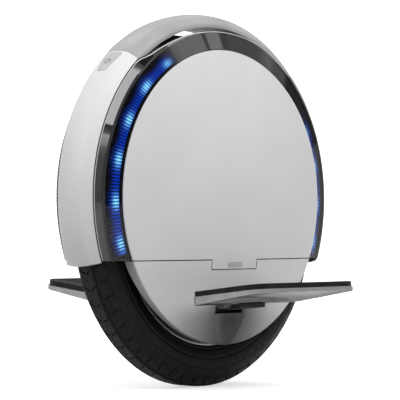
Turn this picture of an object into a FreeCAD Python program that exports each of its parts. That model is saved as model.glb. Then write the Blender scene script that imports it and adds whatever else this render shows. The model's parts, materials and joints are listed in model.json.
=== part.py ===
import FreeCAD, Part
import math
import os

# Electric unicycle: one powered wheel inside a round shell, with lit rings and two folding footrests.
# Millimetres. +X is forward, +Y the rider's left, +Z up.
# The origin is on the ground under the wheel's centre.

# Clearances and overruns used by every piece
overrun = 5.0
overrun_degrees = 5.0
running_clearance = 0.05
fit_gap = 0.3
panel_gap = 0.8
rounding_room_share = 0.45

# Tyre and inner tube
tyre_radius = 202.0
tyre_width = 52.0
tread_flat_width = 18.0
tyre_wall = 6.0
bead_radius = 147.0
bead_seat_width = 36.0
bead_thickness = 7.0
tread_groove_width = 2.4
tread_groove_depth = 2.0
tread_groove_spacing = 24.0
tube_wall = 2.0
valve_radius = 2.5
valve_offset = 6.0
valve_reach = 2.0
valve_cap_radius = 3.4
valve_cap_length = 4.5
widest_point_share = 0.5

# Rim and hub motor
rim_flange_height = 6.0
rim_flange_width = 3.0
rim_well_depth = 6.0
rim_well_width = 20.0
drum_wall = 16.0
back_iron_wall = 6.0
back_iron_margin = 2.0
magnet_thickness = 3.0
magnet_count = 40
magnet_gap_share = 0.14
air_gap = 0.8
stack_width = 28.0
slot_count = 36
tooth_length = 18.0
tooth_width = 7.0
tooth_head_height = 3.0
tooth_head_width = 13.0
yoke_wall = 12.0
coil_wall = 4.0
stator_web = 12.0
stator_hub_wall = 14.0
stator_hole_count = 6
motor_cover_wall = 3.5
motor_cover_lap = 13.0
motor_screw_count = 12
motor_screw_radius = 2.5
motor_screw_head_radius = 4.2
motor_screw_head_height = 2.2
motor_screw_length = 12.0

# Axle and bearings
axle_radius = 10.0
axle_flat_width = 14.0
axle_thread_radius = 7.0
bearing_radius = 21.0
bearing_width = 12.0
race_wall = 3.2
bearing_ball_count = 9
bearing_boss_wall = 7.0
nut_width = 21.0
nut_height = 9.0
washer_radius = 14.0
washer_height = 2.0
axle_end_margin = 3.0

# Shell seen from the side: crown, light ring and covers share one centre above the axle
shell_lift = 26.0
crown_over_tyre = 20.0
crown_flat_half = 6.0
crease_half = 18.0
crease_drop = 2.5
crease_rounding = 10.0
crown_rounding = 60.0
crown_wall = 3.5
ring_edge_drop = 13.4
ring_knee_run = 8.1
ring_knee_rise = 7.8
ring_width = 31.8
ring_depth = 16.2
lens_wall = 2.2
cover_bulge = 19.4
cover_wall = 2.5
cover_edge_chamfer = 0.8
seam_drop_share = 0.369
seam_gap = 1.0
tyre_side_gap = 2.6
plate_wall = 2.0
edge_overhang = 0.2
arch_gap = 9.0
arch_wall = 2.0
fender_tongue = 6.5
hub_hole_radius = 36.0

# Handle and the finger slot under it
handle_half_angle = 40.0
handle_foot_angle = 34.0
handle_rounding = 5.0
handle_foot_half = 21.0
slot_lip_rise = 12.4
slot_height = 5.4
slot_half_angle = 35.0
slot_slope_angle = 7.0
lamp_zone_drop = 10.1
handle_screw_radius = 2.5
handle_screw_length = 10.0
handle_screw_head_radius = 4.5
handle_screw_head_height = 3.0
handle_screw_half = 12.0

# Power button and charging port, on the crown before and behind the handle
button_to_handle = 3.373
button_top_half = 13.0
button_low_half = 6.0
button_length = 32.0
button_rounding = 4.0
button_travel = 1.5
button_stem_radius = 3.0
button_stem_length = 9.0
switch_size = 13.0
port_angle = -46.0
port_width = 24.0
port_length = 30.0
port_rounding = 4.0
port_pin_radius = 1.0
port_knuckle_radius = 1.9
port_pin_depth = 2.6
socket_radius = 9.0
socket_bore_radius = 5.5
socket_depth = 9.0
socket_drop = 2.5

# Light ring inside
housing_wall = 1.6
strip_wall = 1.2
strip_width = 11.0
led_size = 5.0
led_height = 1.6
led_count_each_side = 6
led_first_angle = 31.0
led_pitch_angle = 15.3
guide_wall = 1.6

# Battery cover's pull tongue and the scoop in the lower cover
tongue_half = 40.0
tongue_drop = 11.0
tongue_rounding = 2.0
tongue_gap = 0.9
scoop_radius = 62.0
scoop_drop = 20.0
cover_foot_edge = 3.0

# Footrests
pedal_length = 192.0
pedal_width = 98.0
pedal_tilt = 6.7
pedal_edge = 4.5
pedal_root = 10.0
pad_wall = 6.2
pad_inset = 1.0
pad_groove_count = 9
pad_groove_width = 3.0
pad_groove_depth = 1.6
pedal_outer_rounding = 22.0
pedal_inner_rounding = 6.0
pocket_wall = 9.0
pocket_roof = 4.0
pedal_drop_share = 0.485
pivot_out = 24.0
pivot_to_pedal = 9.0
pivot_below_top = 6.0
hinge_pin_radius = 4.0
hinge_nose_radius = 8.0
ear_width = 14.0
foot_half = 23.0
foot_gap = 0.5
stop_reach = 9.0
stop_wall = 5.0
bracket_wall = 12.0
bracket_head_radius = 25.0
slot_margin = 2.0
bracket_screw_radius = 2.5
bracket_screw_head_radius = 4.5
bracket_screw_head_height = 3.0

# Battery, control board and buzzer behind the covers
cell_radius = 9.2
cell_length = 65.0
cell_pitch = 18.8
cell_rows = 6
cell_columns = 2
side_cell_count = 2
cell_column_gap = 2.5
battery_lift = 10.0
holder_wall = 2.0
holder_depth = 15.0
bms_length = 110.0
bms_height = 10.0
bms_wall = 1.6
board_length = 120.0
board_height = 90.0
board_wall = 1.6
board_post = 10.0
heat_sink_wall = 4.0
fin_count = 8
fin_wall = 2.0
fin_height = 5.0
transistor_count = 6
transistor_width = 10.0
transistor_height = 15.0
transistor_wall = 4.5
capacitor_radius = 5.5
capacitor_length = 24.0
capacitor_pitch = 16.5
capacitor_count = 3
buzzer_radius = 12.0
buzzer_height = 7.0

# Places that follow from the sizes above
axle_z = tyre_radius
shell_z = axle_z + shell_lift
rim_half = bead_seat_width / 2 + rim_flange_width
drum_radius = bead_radius - rim_well_depth - drum_wall
magnet_outer = drum_radius - back_iron_wall
magnet_inner = magnet_outer - magnet_thickness
stator_radius = magnet_inner - air_gap
yoke_radius = stator_radius - tooth_length
bearing_out = rim_half + motor_cover_wall + motor_screw_head_height
plate_in = tyre_width / 2 + tyre_side_gap
plate_out = plate_in + plate_wall
band_half = plate_in - edge_overhang
crown_radius = tyre_radius + crown_over_tyre
button_angle = handle_half_angle + math.degrees((button_length / 2 + button_to_handle) / crown_radius)
ring_edge_radius = crown_radius - ring_edge_drop
ring_knee_radius = ring_edge_radius - ring_knee_run
ring_knee_y = band_half + ring_knee_rise
cover_radius = ring_edge_radius - ring_width
cover_rim_y = band_half + ring_depth
ring_inner_radius = cover_radius + panel_gap
seam_drop = tyre_radius * seam_drop_share
seam_z = shell_z - seam_drop
arch_radius = tyre_radius + arch_gap
arch_top = arch_radius + arch_wall
lip_arc_radius = arch_top + slot_lip_rise
lamp_zone_radius = ring_edge_radius - lamp_zone_drop
fender_edge_radius = ring_edge_radius + panel_gap
bracket_out = plate_out + bracket_wall
pivot_y = cover_rim_y + pivot_out
pivot_z = axle_z - tyre_radius * pedal_drop_share
axle_end = bracket_out + washer_height + nut_height + axle_end_margin
lens_slope = ring_knee_rise / ring_knee_run
plate_radius = ring_edge_radius - (plate_wall + edge_overhang + lens_wall + fit_gap) / lens_slope

across = FreeCAD.Vector(0, 1, 0)


def at(x, y, z):
    return FreeCAD.Vector(x, y, z)


def on_circle(radius, angle, centre_z, y=0):
    """Point in the wheel's plane, the angle measured from straight up towards the front."""
    turn = math.radians(angle)
    return at(radius * math.sin(turn), y, centre_z + radius * math.cos(turn))


def outline(corners, place):
    """Closed face through corners (a, b, rounding), put in space by place(a, b)."""
    runs = []
    for index, (a, b, rounding) in enumerate(corners):
        here = place(a, b)
        before = place(*corners[index - 1][:2]) - here
        after = place(*corners[(index + 1) % len(corners)][:2]) - here
        half_turn = before.getAngle(after) / 2
        room = min(before.Length, after.Length) * rounding_room_share
        reach = min(rounding / math.tan(half_turn), room) if rounding else 0
        radius = reach * math.tan(half_turn)
        before.normalize()
        after.normalize()
        middle = before + after
        if reach:
            middle.normalize()
        inner = here + middle * (radius / math.sin(half_turn) - radius)
        runs.append((here + before * reach, inner, here + after * reach, reach))
    edges = []
    for index, (start, inner, end, reach) in enumerate(runs):
        if reach:
            edges.append(Part.Arc(start, inner, end).toShape())
        edges.append(Part.LineSegment(end, runs[(index + 1) % len(runs)][0]).toShape())
    return Part.Face(Part.Wire(edges))


def spin(corners, centre_z, start=-180, end=180):
    """Solid of revolution about the Y axis line at centre_z, from corners (radius, y, rounding)."""
    face = outline(corners, lambda radius, y: at(0, y, centre_z + radius))
    face.rotate(at(0, 0, centre_z), across, start)
    return face.revolve(at(0, 0, centre_z), across, end - start)


def side_prism(corners, y_low, y_high):
    """Prism across the machine from corners (x, z, rounding)."""
    face = outline(corners, lambda x, z: at(x, y_low, z))
    return face.extrude(at(0, y_high - y_low, 0))


def ring(outer, inner, y_low, y_high, centre_z):
    body = disc(outer, y_low, y_high, centre_z)
    return body.cut(disc(inner, y_low - overrun, y_high + overrun, centre_z))


def disc(radius, y_low, y_high, centre_z):
    return Part.makeCylinder(radius, y_high - y_low, at(0, y_low, centre_z), across)


def block(x_low, x_high, y_low, y_high, z_low, z_high):
    return Part.makeBox(x_high - x_low, y_high - y_low, z_high - z_low, at(x_low, y_low, z_low))


def turned(shape, angle, centre_z):
    copy = shape.copy()
    copy.rotate(at(0, 0, centre_z), across, angle)
    return copy


def around(shape, count, centre_z):
    return [turned(shape, index * 360 / count, centre_z) for index in range(count)]


def mirrored(shape):
    return shape.mirror(at(0, 0, 0), across)


def mirrored_pair(shapes):
    return list(shapes) + [mirrored(shape) for shape in shapes]


def above(level):
    reach = crown_radius * 2
    return block(-reach, reach, -reach, reach, level, level + reach)


def dome(radius, rim_y, base_y):
    """Round cover blank: a drum with a chamfer that runs up to a peak, cut off by a shallow ball cap."""
    ball = (radius ** 2 + cover_bulge ** 2) / (2 * cover_bulge)
    centre_y = rim_y + cover_bulge - ball
    edge = radius - cover_edge_chamfer
    edge_y = centre_y + math.sqrt(ball ** 2 - edge ** 2)
    wall_top = rim_y - cover_edge_chamfer
    peak_y = wall_top + radius * (edge_y - wall_top) / cover_edge_chamfer
    points = [
        at(0, base_y, shell_z),
        at(0, base_y, shell_z + radius),
        at(0, wall_top, shell_z + radius),
        at(0, peak_y, shell_z),
    ]
    drum = Part.Face(Part.makePolygon(points + points[:1])).revolve(at(0, 0, shell_z), across, 360)
    return drum.common(Part.makeSphere(ball, at(0, centre_y, shell_z)))


# Wheel: tyre, tube, rim and the turning half of the motor
section_radius = bead_radius + widest_point_share * (tyre_radius - bead_radius)
cavity_radius = min(tyre_radius - section_radius, tyre_width / 2) - tyre_wall


def sidewall(end_radius, end_half):
    """Arc of the tyre's section from its widest point to end_radius, upright where it starts."""
    rise = end_radius - section_radius
    inset = tyre_width / 2 - end_half
    bend = (rise ** 2 + inset ** 2) / (2 * inset)
    half_turn = math.atan2(rise, bend - inset) / 2
    return [
        (section_radius, tyre_width / 2),
        (section_radius + bend * math.sin(half_turn), tyre_width / 2 - bend + bend * math.cos(half_turn)),
        (end_radius, end_half),
    ]


def make_rim():
    well_radius = bead_radius - rim_well_depth
    flange_radius = bead_radius + rim_flange_height
    seat_half = bead_seat_width / 2
    half = [
        (drum_radius, rim_half, 0),
        (flange_radius, rim_half, rim_flange_width / 3),
        (flange_radius, seat_half, rim_flange_width / 3),
        (bead_radius, seat_half, 0),
        (bead_radius, rim_well_width / 2, 0),
        (well_radius, rim_well_width / 2, 0),
    ]
    other_half = [(radius, -y, rounding) for radius, y, rounding in reversed(half)]
    rim = spin(half + other_half, axle_z).cut(make_valve())
    return rim.cut(mirrored_pair(make_motor_screws()))


def make_tyre(rim):
    upper = sidewall(tyre_radius, tread_flat_width / 2)
    lower = sidewall(bead_radius, bead_seat_width / 2)
    edges = []
    for side in (1, -1):
        for arc in (upper, lower):
            points = [at(0, side * y, axle_z + radius) for radius, y in arc]
            edges.append(Part.Arc(*points).toShape())
    for radius, half in (upper[2], lower[2]):
        edges.append(Part.LineSegment(at(0, -half, axle_z + radius), at(0, half, axle_z + radius)).toShape())
    wire = Part.Wire(Part.__sortEdges__(edges))
    tyre = Part.Face(wire).revolve(at(0, 0, axle_z), across, 360)
    tyre = tyre.cut(Part.makeTorus(section_radius, cavity_radius, at(0, 0, axle_z), across))
    channel_half = bead_seat_width / 2 - bead_thickness
    tyre = tyre.cut(ring(section_radius, bead_radius - overrun, -channel_half, channel_half, axle_z))
    groove_floor = tyre_radius - tread_groove_depth - (tread_groove_spacing - tread_flat_width) / 4
    for side in (1, -1):
        middle = side * tread_groove_spacing / 2
        low, high = middle - tread_groove_width / 2, middle + tread_groove_width / 2
        tyre = tyre.cut(ring(tyre_radius + overrun, groove_floor, low, high, axle_z))
    return tyre.cut(rim)


def make_inner_tube():
    outside = Part.makeTorus(section_radius, cavity_radius - fit_gap, at(0, 0, axle_z), across)
    inside = Part.makeTorus(section_radius, cavity_radius - fit_gap - tube_wall, at(0, 0, axle_z), across)
    return outside.cut(inside)


def make_valve():
    """Bent valve stem: up to the tube from the rim's well, then out through the rim's left side."""
    corner = at(0, valve_offset, axle_z + bead_radius - rim_well_depth + valve_radius)
    leg = Part.makeCylinder(valve_radius, section_radius - bead_radius, corner)
    bend = Part.makeSphere(valve_radius, corner)
    arm = Part.makeCylinder(valve_radius, rim_half + valve_reach - valve_offset, corner, across)
    tube_space = Part.makeTorus(section_radius, cavity_radius, at(0, 0, axle_z), across)
    return leg.fuse([bend, arm]).cut(tube_space)


def make_valve_cap():
    leg_z = axle_z + bead_radius - rim_well_depth + valve_radius
    end = rim_half + valve_reach
    cap = Part.makeCylinder(valve_cap_radius, valve_cap_length, at(0, end - valve_reach / 2, leg_z), across)
    return cap.cut(make_valve())


def make_back_iron():
    half = stack_width / 2 + back_iron_margin
    return ring(drum_radius, magnet_outer, -half, half, axle_z)


def make_magnets():
    """Magnets inside the back iron, a thin glue line away from it."""
    band = ring(magnet_outer - fit_gap, magnet_inner, -stack_width / 2, stack_width / 2, axle_z)
    half_turn = 180 / magnet_count * (1 - magnet_gap_share)
    reach = magnet_outer + overrun
    points = [(0, axle_z, 0)]
    for turn in (-half_turn, half_turn):
        tip = on_circle(reach, turn, axle_z)
        points.append((tip.x, tip.z, 0))
    wedge = side_prism(points, -stack_width, stack_width)
    return around(band.common(wedge), magnet_count, axle_z)


def make_motor_cover():
    """Left cover: a flat lid on the rim's side with a register inside the drum and a bearing boss."""
    outer = drum_radius + motor_cover_lap
    boss_radius = bearing_radius + bearing_boss_wall
    register_in = stack_width / 2 + back_iron_margin + fit_gap
    lid = ring(outer, bearing_radius, rim_half, rim_half + motor_cover_wall, axle_z)
    boss = ring(boss_radius, bearing_radius, bearing_out - bearing_width, bearing_out, axle_z)
    register = ring(drum_radius, drum_radius - motor_cover_wall, register_in, rim_half, axle_z)
    cover = lid.fuse([boss, register])
    return cover.cut(make_motor_screws())


def make_motor_screws():
    z = axle_z + drum_radius + motor_cover_lap / 2
    seat = rim_half + motor_cover_wall
    tip = seat - motor_screw_length
    shank = Part.makeCylinder(motor_screw_radius, motor_screw_length, at(0, tip, z), across)
    head = Part.makeCylinder(motor_screw_head_radius, motor_screw_head_height, at(0, seat, z), across)
    return around(shank.fuse(head), motor_screw_count, axle_z)


# Fixed half of the motor, axle and bearings
def make_stator_core():
    half = stack_width / 2
    core = ring(yoke_radius, yoke_radius - yoke_wall, -half, half, axle_z)
    root_z = axle_z + yoke_radius - yoke_wall / 2
    tip_z = axle_z + stator_radius
    tooth = block(-tooth_width / 2, tooth_width / 2, -half, half, root_z, tip_z)
    head_z = tip_z - tooth_head_height
    head = block(-tooth_head_width / 2, tooth_head_width / 2, -half, half, head_z, tip_z)
    tooth = tooth.fuse(head).common(disc(stator_radius, -half, half, axle_z))
    return core.fuse(around(tooth, slot_count, axle_z)).removeSplitter()


def make_windings():
    """One coil round each tooth, clear of its neighbours and of the yoke."""
    bottom = axle_z + yoke_radius + fit_gap
    top = axle_z + stator_radius - tooth_head_height - fit_gap
    inner_x = tooth_width / 2 + fit_gap
    inner_y = stack_width / 2 + fit_gap
    outer_x = inner_x + coil_wall
    outer_y = inner_y + coil_wall
    coil = block(-outer_x, outer_x, -outer_y, outer_y, bottom, top)
    window = block(-inner_x, inner_x, -inner_y, inner_y, bottom - overrun, top + overrun)
    corners = [edge for edge in coil.Edges if abs(edge.Vertexes[0].Z - edge.Vertexes[1].Z) > coil_wall]
    return around(coil.makeFillet(coil_wall / 2, corners).cut(window), slot_count, axle_z)


def make_stator_hub():
    half = stator_web / 2
    rim = yoke_radius - yoke_wall
    hub_radius = axle_radius + stator_hub_wall
    hub_half = bearing_out - bearing_width - fit_gap
    web = ring(rim, axle_radius, -half, half, axle_z)
    sleeve = ring(hub_radius, axle_radius, -hub_half, hub_half, axle_z)
    hole_radius = (rim - hub_radius) / 4
    hole_z = axle_z + (rim + hub_radius) / 2
    hole = disc(hole_radius, -stator_web, stator_web, hole_z)
    return web.fuse(sleeve).cut(around(hole, stator_hole_count, axle_z))


def make_axle():
    """Round in the middle, two flats where the brackets grip it, threaded ends."""
    middle = disc(axle_radius, -plate_out, plate_out, axle_z)
    low, high = axle_z - axle_flat_width / 2, axle_z + axle_flat_width / 2
    grip = disc(axle_radius, -bracket_out, bracket_out, axle_z)
    grip = grip.common(block(-axle_radius, axle_radius, -bracket_out, bracket_out, low, high))
    ends = disc(axle_thread_radius, -axle_end, axle_end, axle_z)
    return middle.fuse([grip, ends]).removeSplitter()


def axle_grip_hole():
    flats_z = axle_flat_width / 2 + running_clearance
    reach = bracket_out + overrun
    hole = disc(axle_radius + running_clearance, 0, reach, axle_z)
    return hole.common(block(-reach, reach, 0, reach, axle_z - flats_z, axle_z + flats_z))


def make_bearing():
    """Left bearing: outer race, balls and inner race, the balls in round grooves."""
    y_low, y_high = bearing_out - bearing_width, bearing_out
    middle = (y_low + y_high) / 2
    ball_circle = (axle_radius + bearing_radius) / 2
    ball_radius = ball_circle - axle_radius - race_wall / 2
    groove = Part.makeTorus(ball_circle, ball_radius + running_clearance, at(0, middle, axle_z), across)
    outer = ring(bearing_radius, bearing_radius - race_wall, y_low, y_high, axle_z).cut(groove)
    inner = ring(axle_radius + race_wall, axle_radius, y_low, y_high, axle_z).cut(groove)
    ball = Part.makeSphere(ball_radius, at(0, middle, axle_z + ball_circle))
    return outer, around(ball, bearing_ball_count, axle_z), inner


def make_washer():
    return ring(washer_radius, axle_thread_radius, bracket_out, bracket_out + washer_height, axle_z)


def make_nut():
    low = bracket_out + washer_height
    corner = nut_width / math.sqrt(3)
    points = []
    for index in range(6):
        tip = on_circle(corner, index * 60, axle_z)
        points.append((tip.x, tip.z, 0))
    nut = side_prism(points, low, low + nut_height)
    return nut.cut(disc(axle_thread_radius, low - overrun, low + nut_height + overrun, axle_z))


# Shell: inner shells, fenders, handle
def crown_half():
    """Outer edge of the crown's section from its side edge to its middle, as (radius, y, rounding)."""
    return [
        (fender_edge_radius, band_half, 0),
        (crown_radius - crease_drop, crease_half, crease_rounding),
        (crown_radius, crown_flat_half, crown_rounding),
    ]


def crown_inner_half(gap):
    """Inner edge of the crown's section, gap away from its wall."""
    side_wall = crown_wall + gap
    return [
        (fender_edge_radius, band_half - side_wall, 0),
        (crown_radius - crease_drop - side_wall, crease_half - side_wall / 2, crease_rounding),
        (crown_radius - side_wall, crown_flat_half, crown_rounding),
    ]


def both_sides(half):
    return half + [(radius, -y, rounding) for radius, y, rounding in reversed(half)]


def under_crown():
    """Room inside the shell: between the side plates and, further out, under the crown."""
    half = [
        (plate_radius, plate_in, 0),
        (plate_radius, band_half - crown_wall - fit_gap, 0),
    ]
    base = arch_radius - shell_lift - overrun
    outer = both_sides(half + crown_inner_half(fit_gap))
    return spin(outer + [(base, -plate_in, 0), (base, plate_in, 0)], shell_z)


def slot_bay(middle_radius, end_radius, edge_radius):
    """Prism across the machine over the finger slot's curve, and all above it.

    The curve is an arc with its radii measured from the axle, and swings out at each end to edge_radius,
    measured from the shell's centre.
    """
    far = crown_radius * 2
    end_turn = turn_seen_from_axle(slot_half_angle, end_radius)
    floor_end = on_circle(end_radius, end_turn, axle_z)
    floor = Part.Arc(at(-floor_end.x, 0, floor_end.z), at(0, 0, axle_z + middle_radius), floor_end).toShape()
    outer_turn = slot_half_angle + slot_slope_angle
    rise = on_circle(edge_radius, outer_turn, shell_z)
    along = at(math.cos(math.radians(outer_turn)), 0, -math.sin(math.radians(outer_turn)))
    level = floor.tangentAt(floor.LastParameter)
    curve = Part.BSplineCurve()
    curve.interpolate([floor_end, rise], InitialTangent=level, FinalTangent=along)
    swing = curve.toShape()
    other_swing = swing.mirror(at(0, 0, 0), at(1, 0, 0))
    top = on_circle(far, outer_turn, shell_z)
    roof = Part.makePolygon([rise, top, at(-top.x, 0, top.z), at(-rise.x, 0, rise.z)])
    face = Part.Face(Part.Wire([floor, swing] + roof.Edges + [other_swing]))
    face.translate(at(0, -far, 0))
    return face.extrude(at(0, far * 2, 0))


def make_inner_shell():
    """Left inner shell: side plate beside the tyre and half of the arch over it."""
    low_radius = cover_radius - cover_wall - fit_gap
    plate = disc(plate_radius, plate_in, plate_out, shell_z).common(above(seam_z))
    plate = plate.fuse(disc(low_radius, plate_in, plate_out, shell_z))
    turn = turn_seen_from_axle(handle_foot_angle, arch_top)
    far, side = crown_radius * 2, plate_out + overrun
    bay = spin([(arch_top, 0, 0), (far, 0, 0), (far, side, 0), (arch_top, side, 0)], axle_z, -turn, turn)
    plate = plate.cut(bay)
    plate = plate.cut(disc(hub_hole_radius, 0, plate_out + overrun, axle_z))
    arch = ring(arch_top, arch_radius, 0, plate_in, axle_z).common(above(seam_z)).common(under_crown())
    shell = plate.fuse(arch).removeSplitter()
    return shell.cut(make_handle_screws() + make_bracket_screws())


def fender_end():
    """Keeps a fender above a softly rounded lower edge that dips in the middle."""
    far = crown_radius * 2
    side = band_half + overrun
    low = [at(0, -side, seam_z), at(0, 0, seam_z - fender_tongue), at(0, side, seam_z)]
    top = [at(0, side, seam_z + far), at(0, -side, seam_z + far)]
    runs = [low[2], top[0], top[1], low[0]]
    edges = [Part.Arc(*low).toShape()]
    edges += [Part.LineSegment(runs[i], runs[i + 1]).toShape() for i in range(3)]
    return Part.Face(Part.Wire(edges)).extrude(at(far, 0, 0))


def make_fender():
    """Front fender: the crown's wall from the handle's end down to its rounded tongue."""
    start = handle_half_angle + math.degrees(fit_gap / crown_radius)
    end = 90 + math.degrees(math.asin((seam_drop + fender_tongue) / (crown_radius - crown_wall)))
    section = both_sides(crown_half())
    inner = both_sides(crown_inner_half(0))
    wall = spin(section, shell_z, start, end + overrun_degrees)
    room = spin(inner, shell_z, start - overrun_degrees, end + overrun_degrees * 2)
    return wall.cut(room).common(fender_end())


def make_handle():
    """Rounded grip that carries the crown's line over the finger slot, with a foot at each end."""
    base = arch_top - shell_lift
    half = [(base, band_half, 0), (fender_edge_radius, band_half, handle_rounding)] + crown_half()[1:]
    grip = spin(both_sides(half), shell_z, -handle_half_angle, handle_half_angle)
    grip = grip.common(slot_bay(lip_arc_radius + slot_height, lip_arc_radius + panel_gap, fender_edge_radius))
    foot_side = [(base, handle_foot_half, 0), (crown_radius - crown_wall * 2, handle_foot_half, 0)]
    foot = spin(both_sides(foot_side), shell_z, handle_foot_angle, handle_half_angle)
    foot = foot.cut(disc(arch_top, -plate_out, plate_out, axle_z))
    feet = [foot, foot.mirror(at(0, 0, 0), at(1, 0, 0))]
    return grip.fuse(feet).removeSplitter().cut(make_handle_screws())


def make_handle_screws():
    """Screws up through the arch into the handle's feet, the heads on the tyre's side."""
    turn = (handle_half_angle + handle_foot_angle) / 2
    place = on_circle(arch_radius, turn_seen_from_axle(turn, arch_radius), axle_z)
    lean = (place - at(0, 0, axle_z)).normalize()
    screws = []
    for side in (-1, 1):
        seat = place + at(0, side * handle_screw_half, 0)
        shank = Part.makeCylinder(handle_screw_radius, handle_screw_length, seat, lean)
        head_seat = seat - lean * handle_screw_head_height
        head = Part.makeCylinder(handle_screw_head_radius, handle_screw_head_height, head_seat, lean)
        screw = shank.fuse(head)
        screws += [screw, screw.mirror(at(0, 0, 0), at(1, 0, 0))]
    return screws


def turn_seen_from_axle(turn, radius):
    """Angle about the axle, at a radius from it, of what lies at angle turn about the shell's centre."""
    return turn - math.degrees(math.asin(shell_lift * math.sin(math.radians(turn)) / radius))


# Power button and charging port
def crown_patch(corners, angle):
    """Prism square to the crown at an angle, from corners (along the crown, y, rounding)."""
    base = crown_radius - crown_wall - overrun
    face = outline(corners, lambda along, y: at(along, y, shell_z + base))
    prism = face.extrude(at(0, 0, crown_wall + overrun * 2))
    return turned(prism, angle, shell_z)


def button_patch(gap):
    top, low = button_top_half + gap, button_low_half + gap
    half = button_length / 2 + gap
    corners = [(-half, top, button_rounding), (half, low, button_rounding)]
    return crown_patch(both_sides(corners), button_angle)


def make_button(fender):
    """Shield-shaped cap cut from the crown's own surface, with a stem that works the switch."""
    cap = fender.common(button_patch(0))
    stem_end = crown_radius - crown_wall / 2 - button_stem_length
    stem = Part.makeCylinder(button_stem_radius, button_stem_length, at(0, 0, shell_z + stem_end))
    stem = turned(stem, button_angle, shell_z)
    return cap.fuse(stem).removeSplitter()


def make_switch():
    """Switch block on the arch with a well that the button's stem runs in."""
    stem_end = crown_radius - crown_wall / 2 - button_stem_length
    top = stem_end + button_stem_length / 3
    base = arch_radius - shell_lift
    half = switch_size / 2
    body = block(-half, half, -half, half, shell_z + base, shell_z + top)
    well_floor = stem_end - button_travel - fit_gap
    well_radius = button_stem_radius + fit_gap
    well = Part.makeCylinder(well_radius, top - well_floor + overrun, at(0, 0, shell_z + well_floor))
    body = turned(body.cut(well), button_angle, shell_z)
    return body.cut(disc(arch_top, -plate_in, plate_in, axle_z))


def port_patch(gap):
    half_length, half_width = port_length / 2 + gap, port_width / 2 + gap
    corners = [(-half_length, half_width, port_rounding), (half_length, half_width, port_rounding)]
    return crown_patch(both_sides(corners), port_angle)


def port_pin_line():
    """Middle of the flap's hinge pin: along the crown's lower end of the flap, just under its surface."""
    place = at(-port_length / 2 + port_knuckle_radius, 0, shell_z + crown_radius - port_pin_depth)
    turn = FreeCAD.Rotation(across, port_angle)
    return at(0, 0, shell_z) + turn.multVec(place - at(0, 0, shell_z))


def port_pin(radius, half_length):
    middle = port_pin_line()
    return Part.makeCylinder(radius, half_length * 2, middle - across * half_length, across)


def make_port_cover(fender):
    """Flap cut from the crown's own surface, rolled round its hinge pin at the lower end."""
    knuckle = port_pin(port_knuckle_radius, port_width / 2)
    hinge_end = -port_length / 2 + port_knuckle_radius
    below = block(-port_length, hinge_end, -port_width, port_width, shell_z, shell_z + crown_radius + overrun)
    flap = fender.common(port_patch(0)).cut(turned(below, port_angle, shell_z)).fuse(knuckle)
    return flap.removeSplitter().cut(port_pin(port_pin_radius + running_clearance, port_width))


def make_charge_socket():
    """Round charging socket standing on the arch under the flap."""
    top = shell_z + crown_radius - crown_wall - socket_drop
    base = shell_z + arch_radius - shell_lift
    body = Part.makeCylinder(socket_radius, top - base, at(0, 0, base))
    bore = Part.makeCylinder(socket_bore_radius, socket_depth + overrun, at(0, 0, top - socket_depth))
    body = turned(body.cut(bore), port_angle, shell_z)
    return body.cut(disc(arch_top, -plate_in, plate_in, axle_z))


# Light ring
def lens_half(drop):
    """Outer face of the light ring, lowered by drop, as (radius, y, rounding)."""
    ring_face_y = cover_rim_y - panel_gap / 2
    return [
        (ring_edge_radius, band_half - drop, 0),
        (ring_knee_radius, ring_knee_y - drop, 0),
        (ring_inner_radius, ring_face_y - drop, 0),
    ]


def ring_zone(shape):
    """Trims a full ring to the lit part above the seam and opens it under the handle."""
    return shape.common(above(seam_z)).cut(slot_bay(lip_arc_radius, lip_arc_radius, ring_edge_radius))


def make_lens():
    return ring_zone(spin(lens_half(0) + lens_half(lens_wall)[::-1], shell_z))


def lens_under(radius, drop):
    """Height of the light ring's lamp face at a radius, lowered by drop."""
    knee, inner = lens_half(drop)[1:]
    share = (knee[0] - radius) / (knee[0] - inner[0])
    return knee[1] + share * (inner[1] - knee[1])


def make_light_guide():
    """Inner ring behind the lens, over the lamps only."""
    high = lens_wall + fit_gap
    low = high + guide_wall
    outer = lamp_zone_radius - fit_gap * 2 - housing_wall
    inner = ring_inner_radius + housing_wall + fit_gap
    corners = [
        (outer, lens_under(outer, high), 0),
        (inner, lens_under(inner, high), 0),
        (inner, lens_under(inner, low), 0),
        (outer, lens_under(outer, low), 0),
    ]
    return ring_zone(spin(corners, shell_z))


def make_light_housing():
    """Black channel behind the lens: a floor on the side plate and a wall at each edge."""
    outer = lamp_zone_radius - fit_gap
    inner = ring_inner_radius
    drop = lens_wall + fit_gap * 2
    floor = ring(outer, inner, plate_out, plate_out + housing_wall, shell_z)
    inner_top = lens_under(inner + housing_wall, drop)
    inner_wall = ring(inner + housing_wall, inner, plate_out, inner_top, shell_z)
    outer_wall = ring(outer, outer - housing_wall, plate_out, lens_under(outer, drop), shell_z)
    return ring_zone(floor.fuse([inner_wall, outer_wall]))


def make_led_strip():
    """Ring of board on the housing's floor, and the lamps on it."""
    floor = plate_out + housing_wall
    top = floor + strip_wall
    inner = ring_inner_radius + housing_wall + fit_gap
    strip = ring_zone(ring(inner + strip_width, inner, floor, top, shell_z))
    half = led_size / 2
    low = shell_z + inner + strip_width / 2 - half
    lamp = block(-half, half, top, top + led_height, low, low + led_size)
    lamps = []
    for index in range(led_count_each_side):
        turn = led_first_angle + index * led_pitch_angle
        lamps += [turned(lamp, turn, shell_z), turned(lamp, -turn, shell_z)]
    return strip, lamps


# Covers
def cover_shell():
    """Hollow round cover blank of the left side."""
    outside = dome(cover_radius, cover_rim_y, plate_out)
    inside = dome(cover_radius - cover_wall, cover_rim_y - cover_wall, plate_out - overrun)
    return outside, inside


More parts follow.
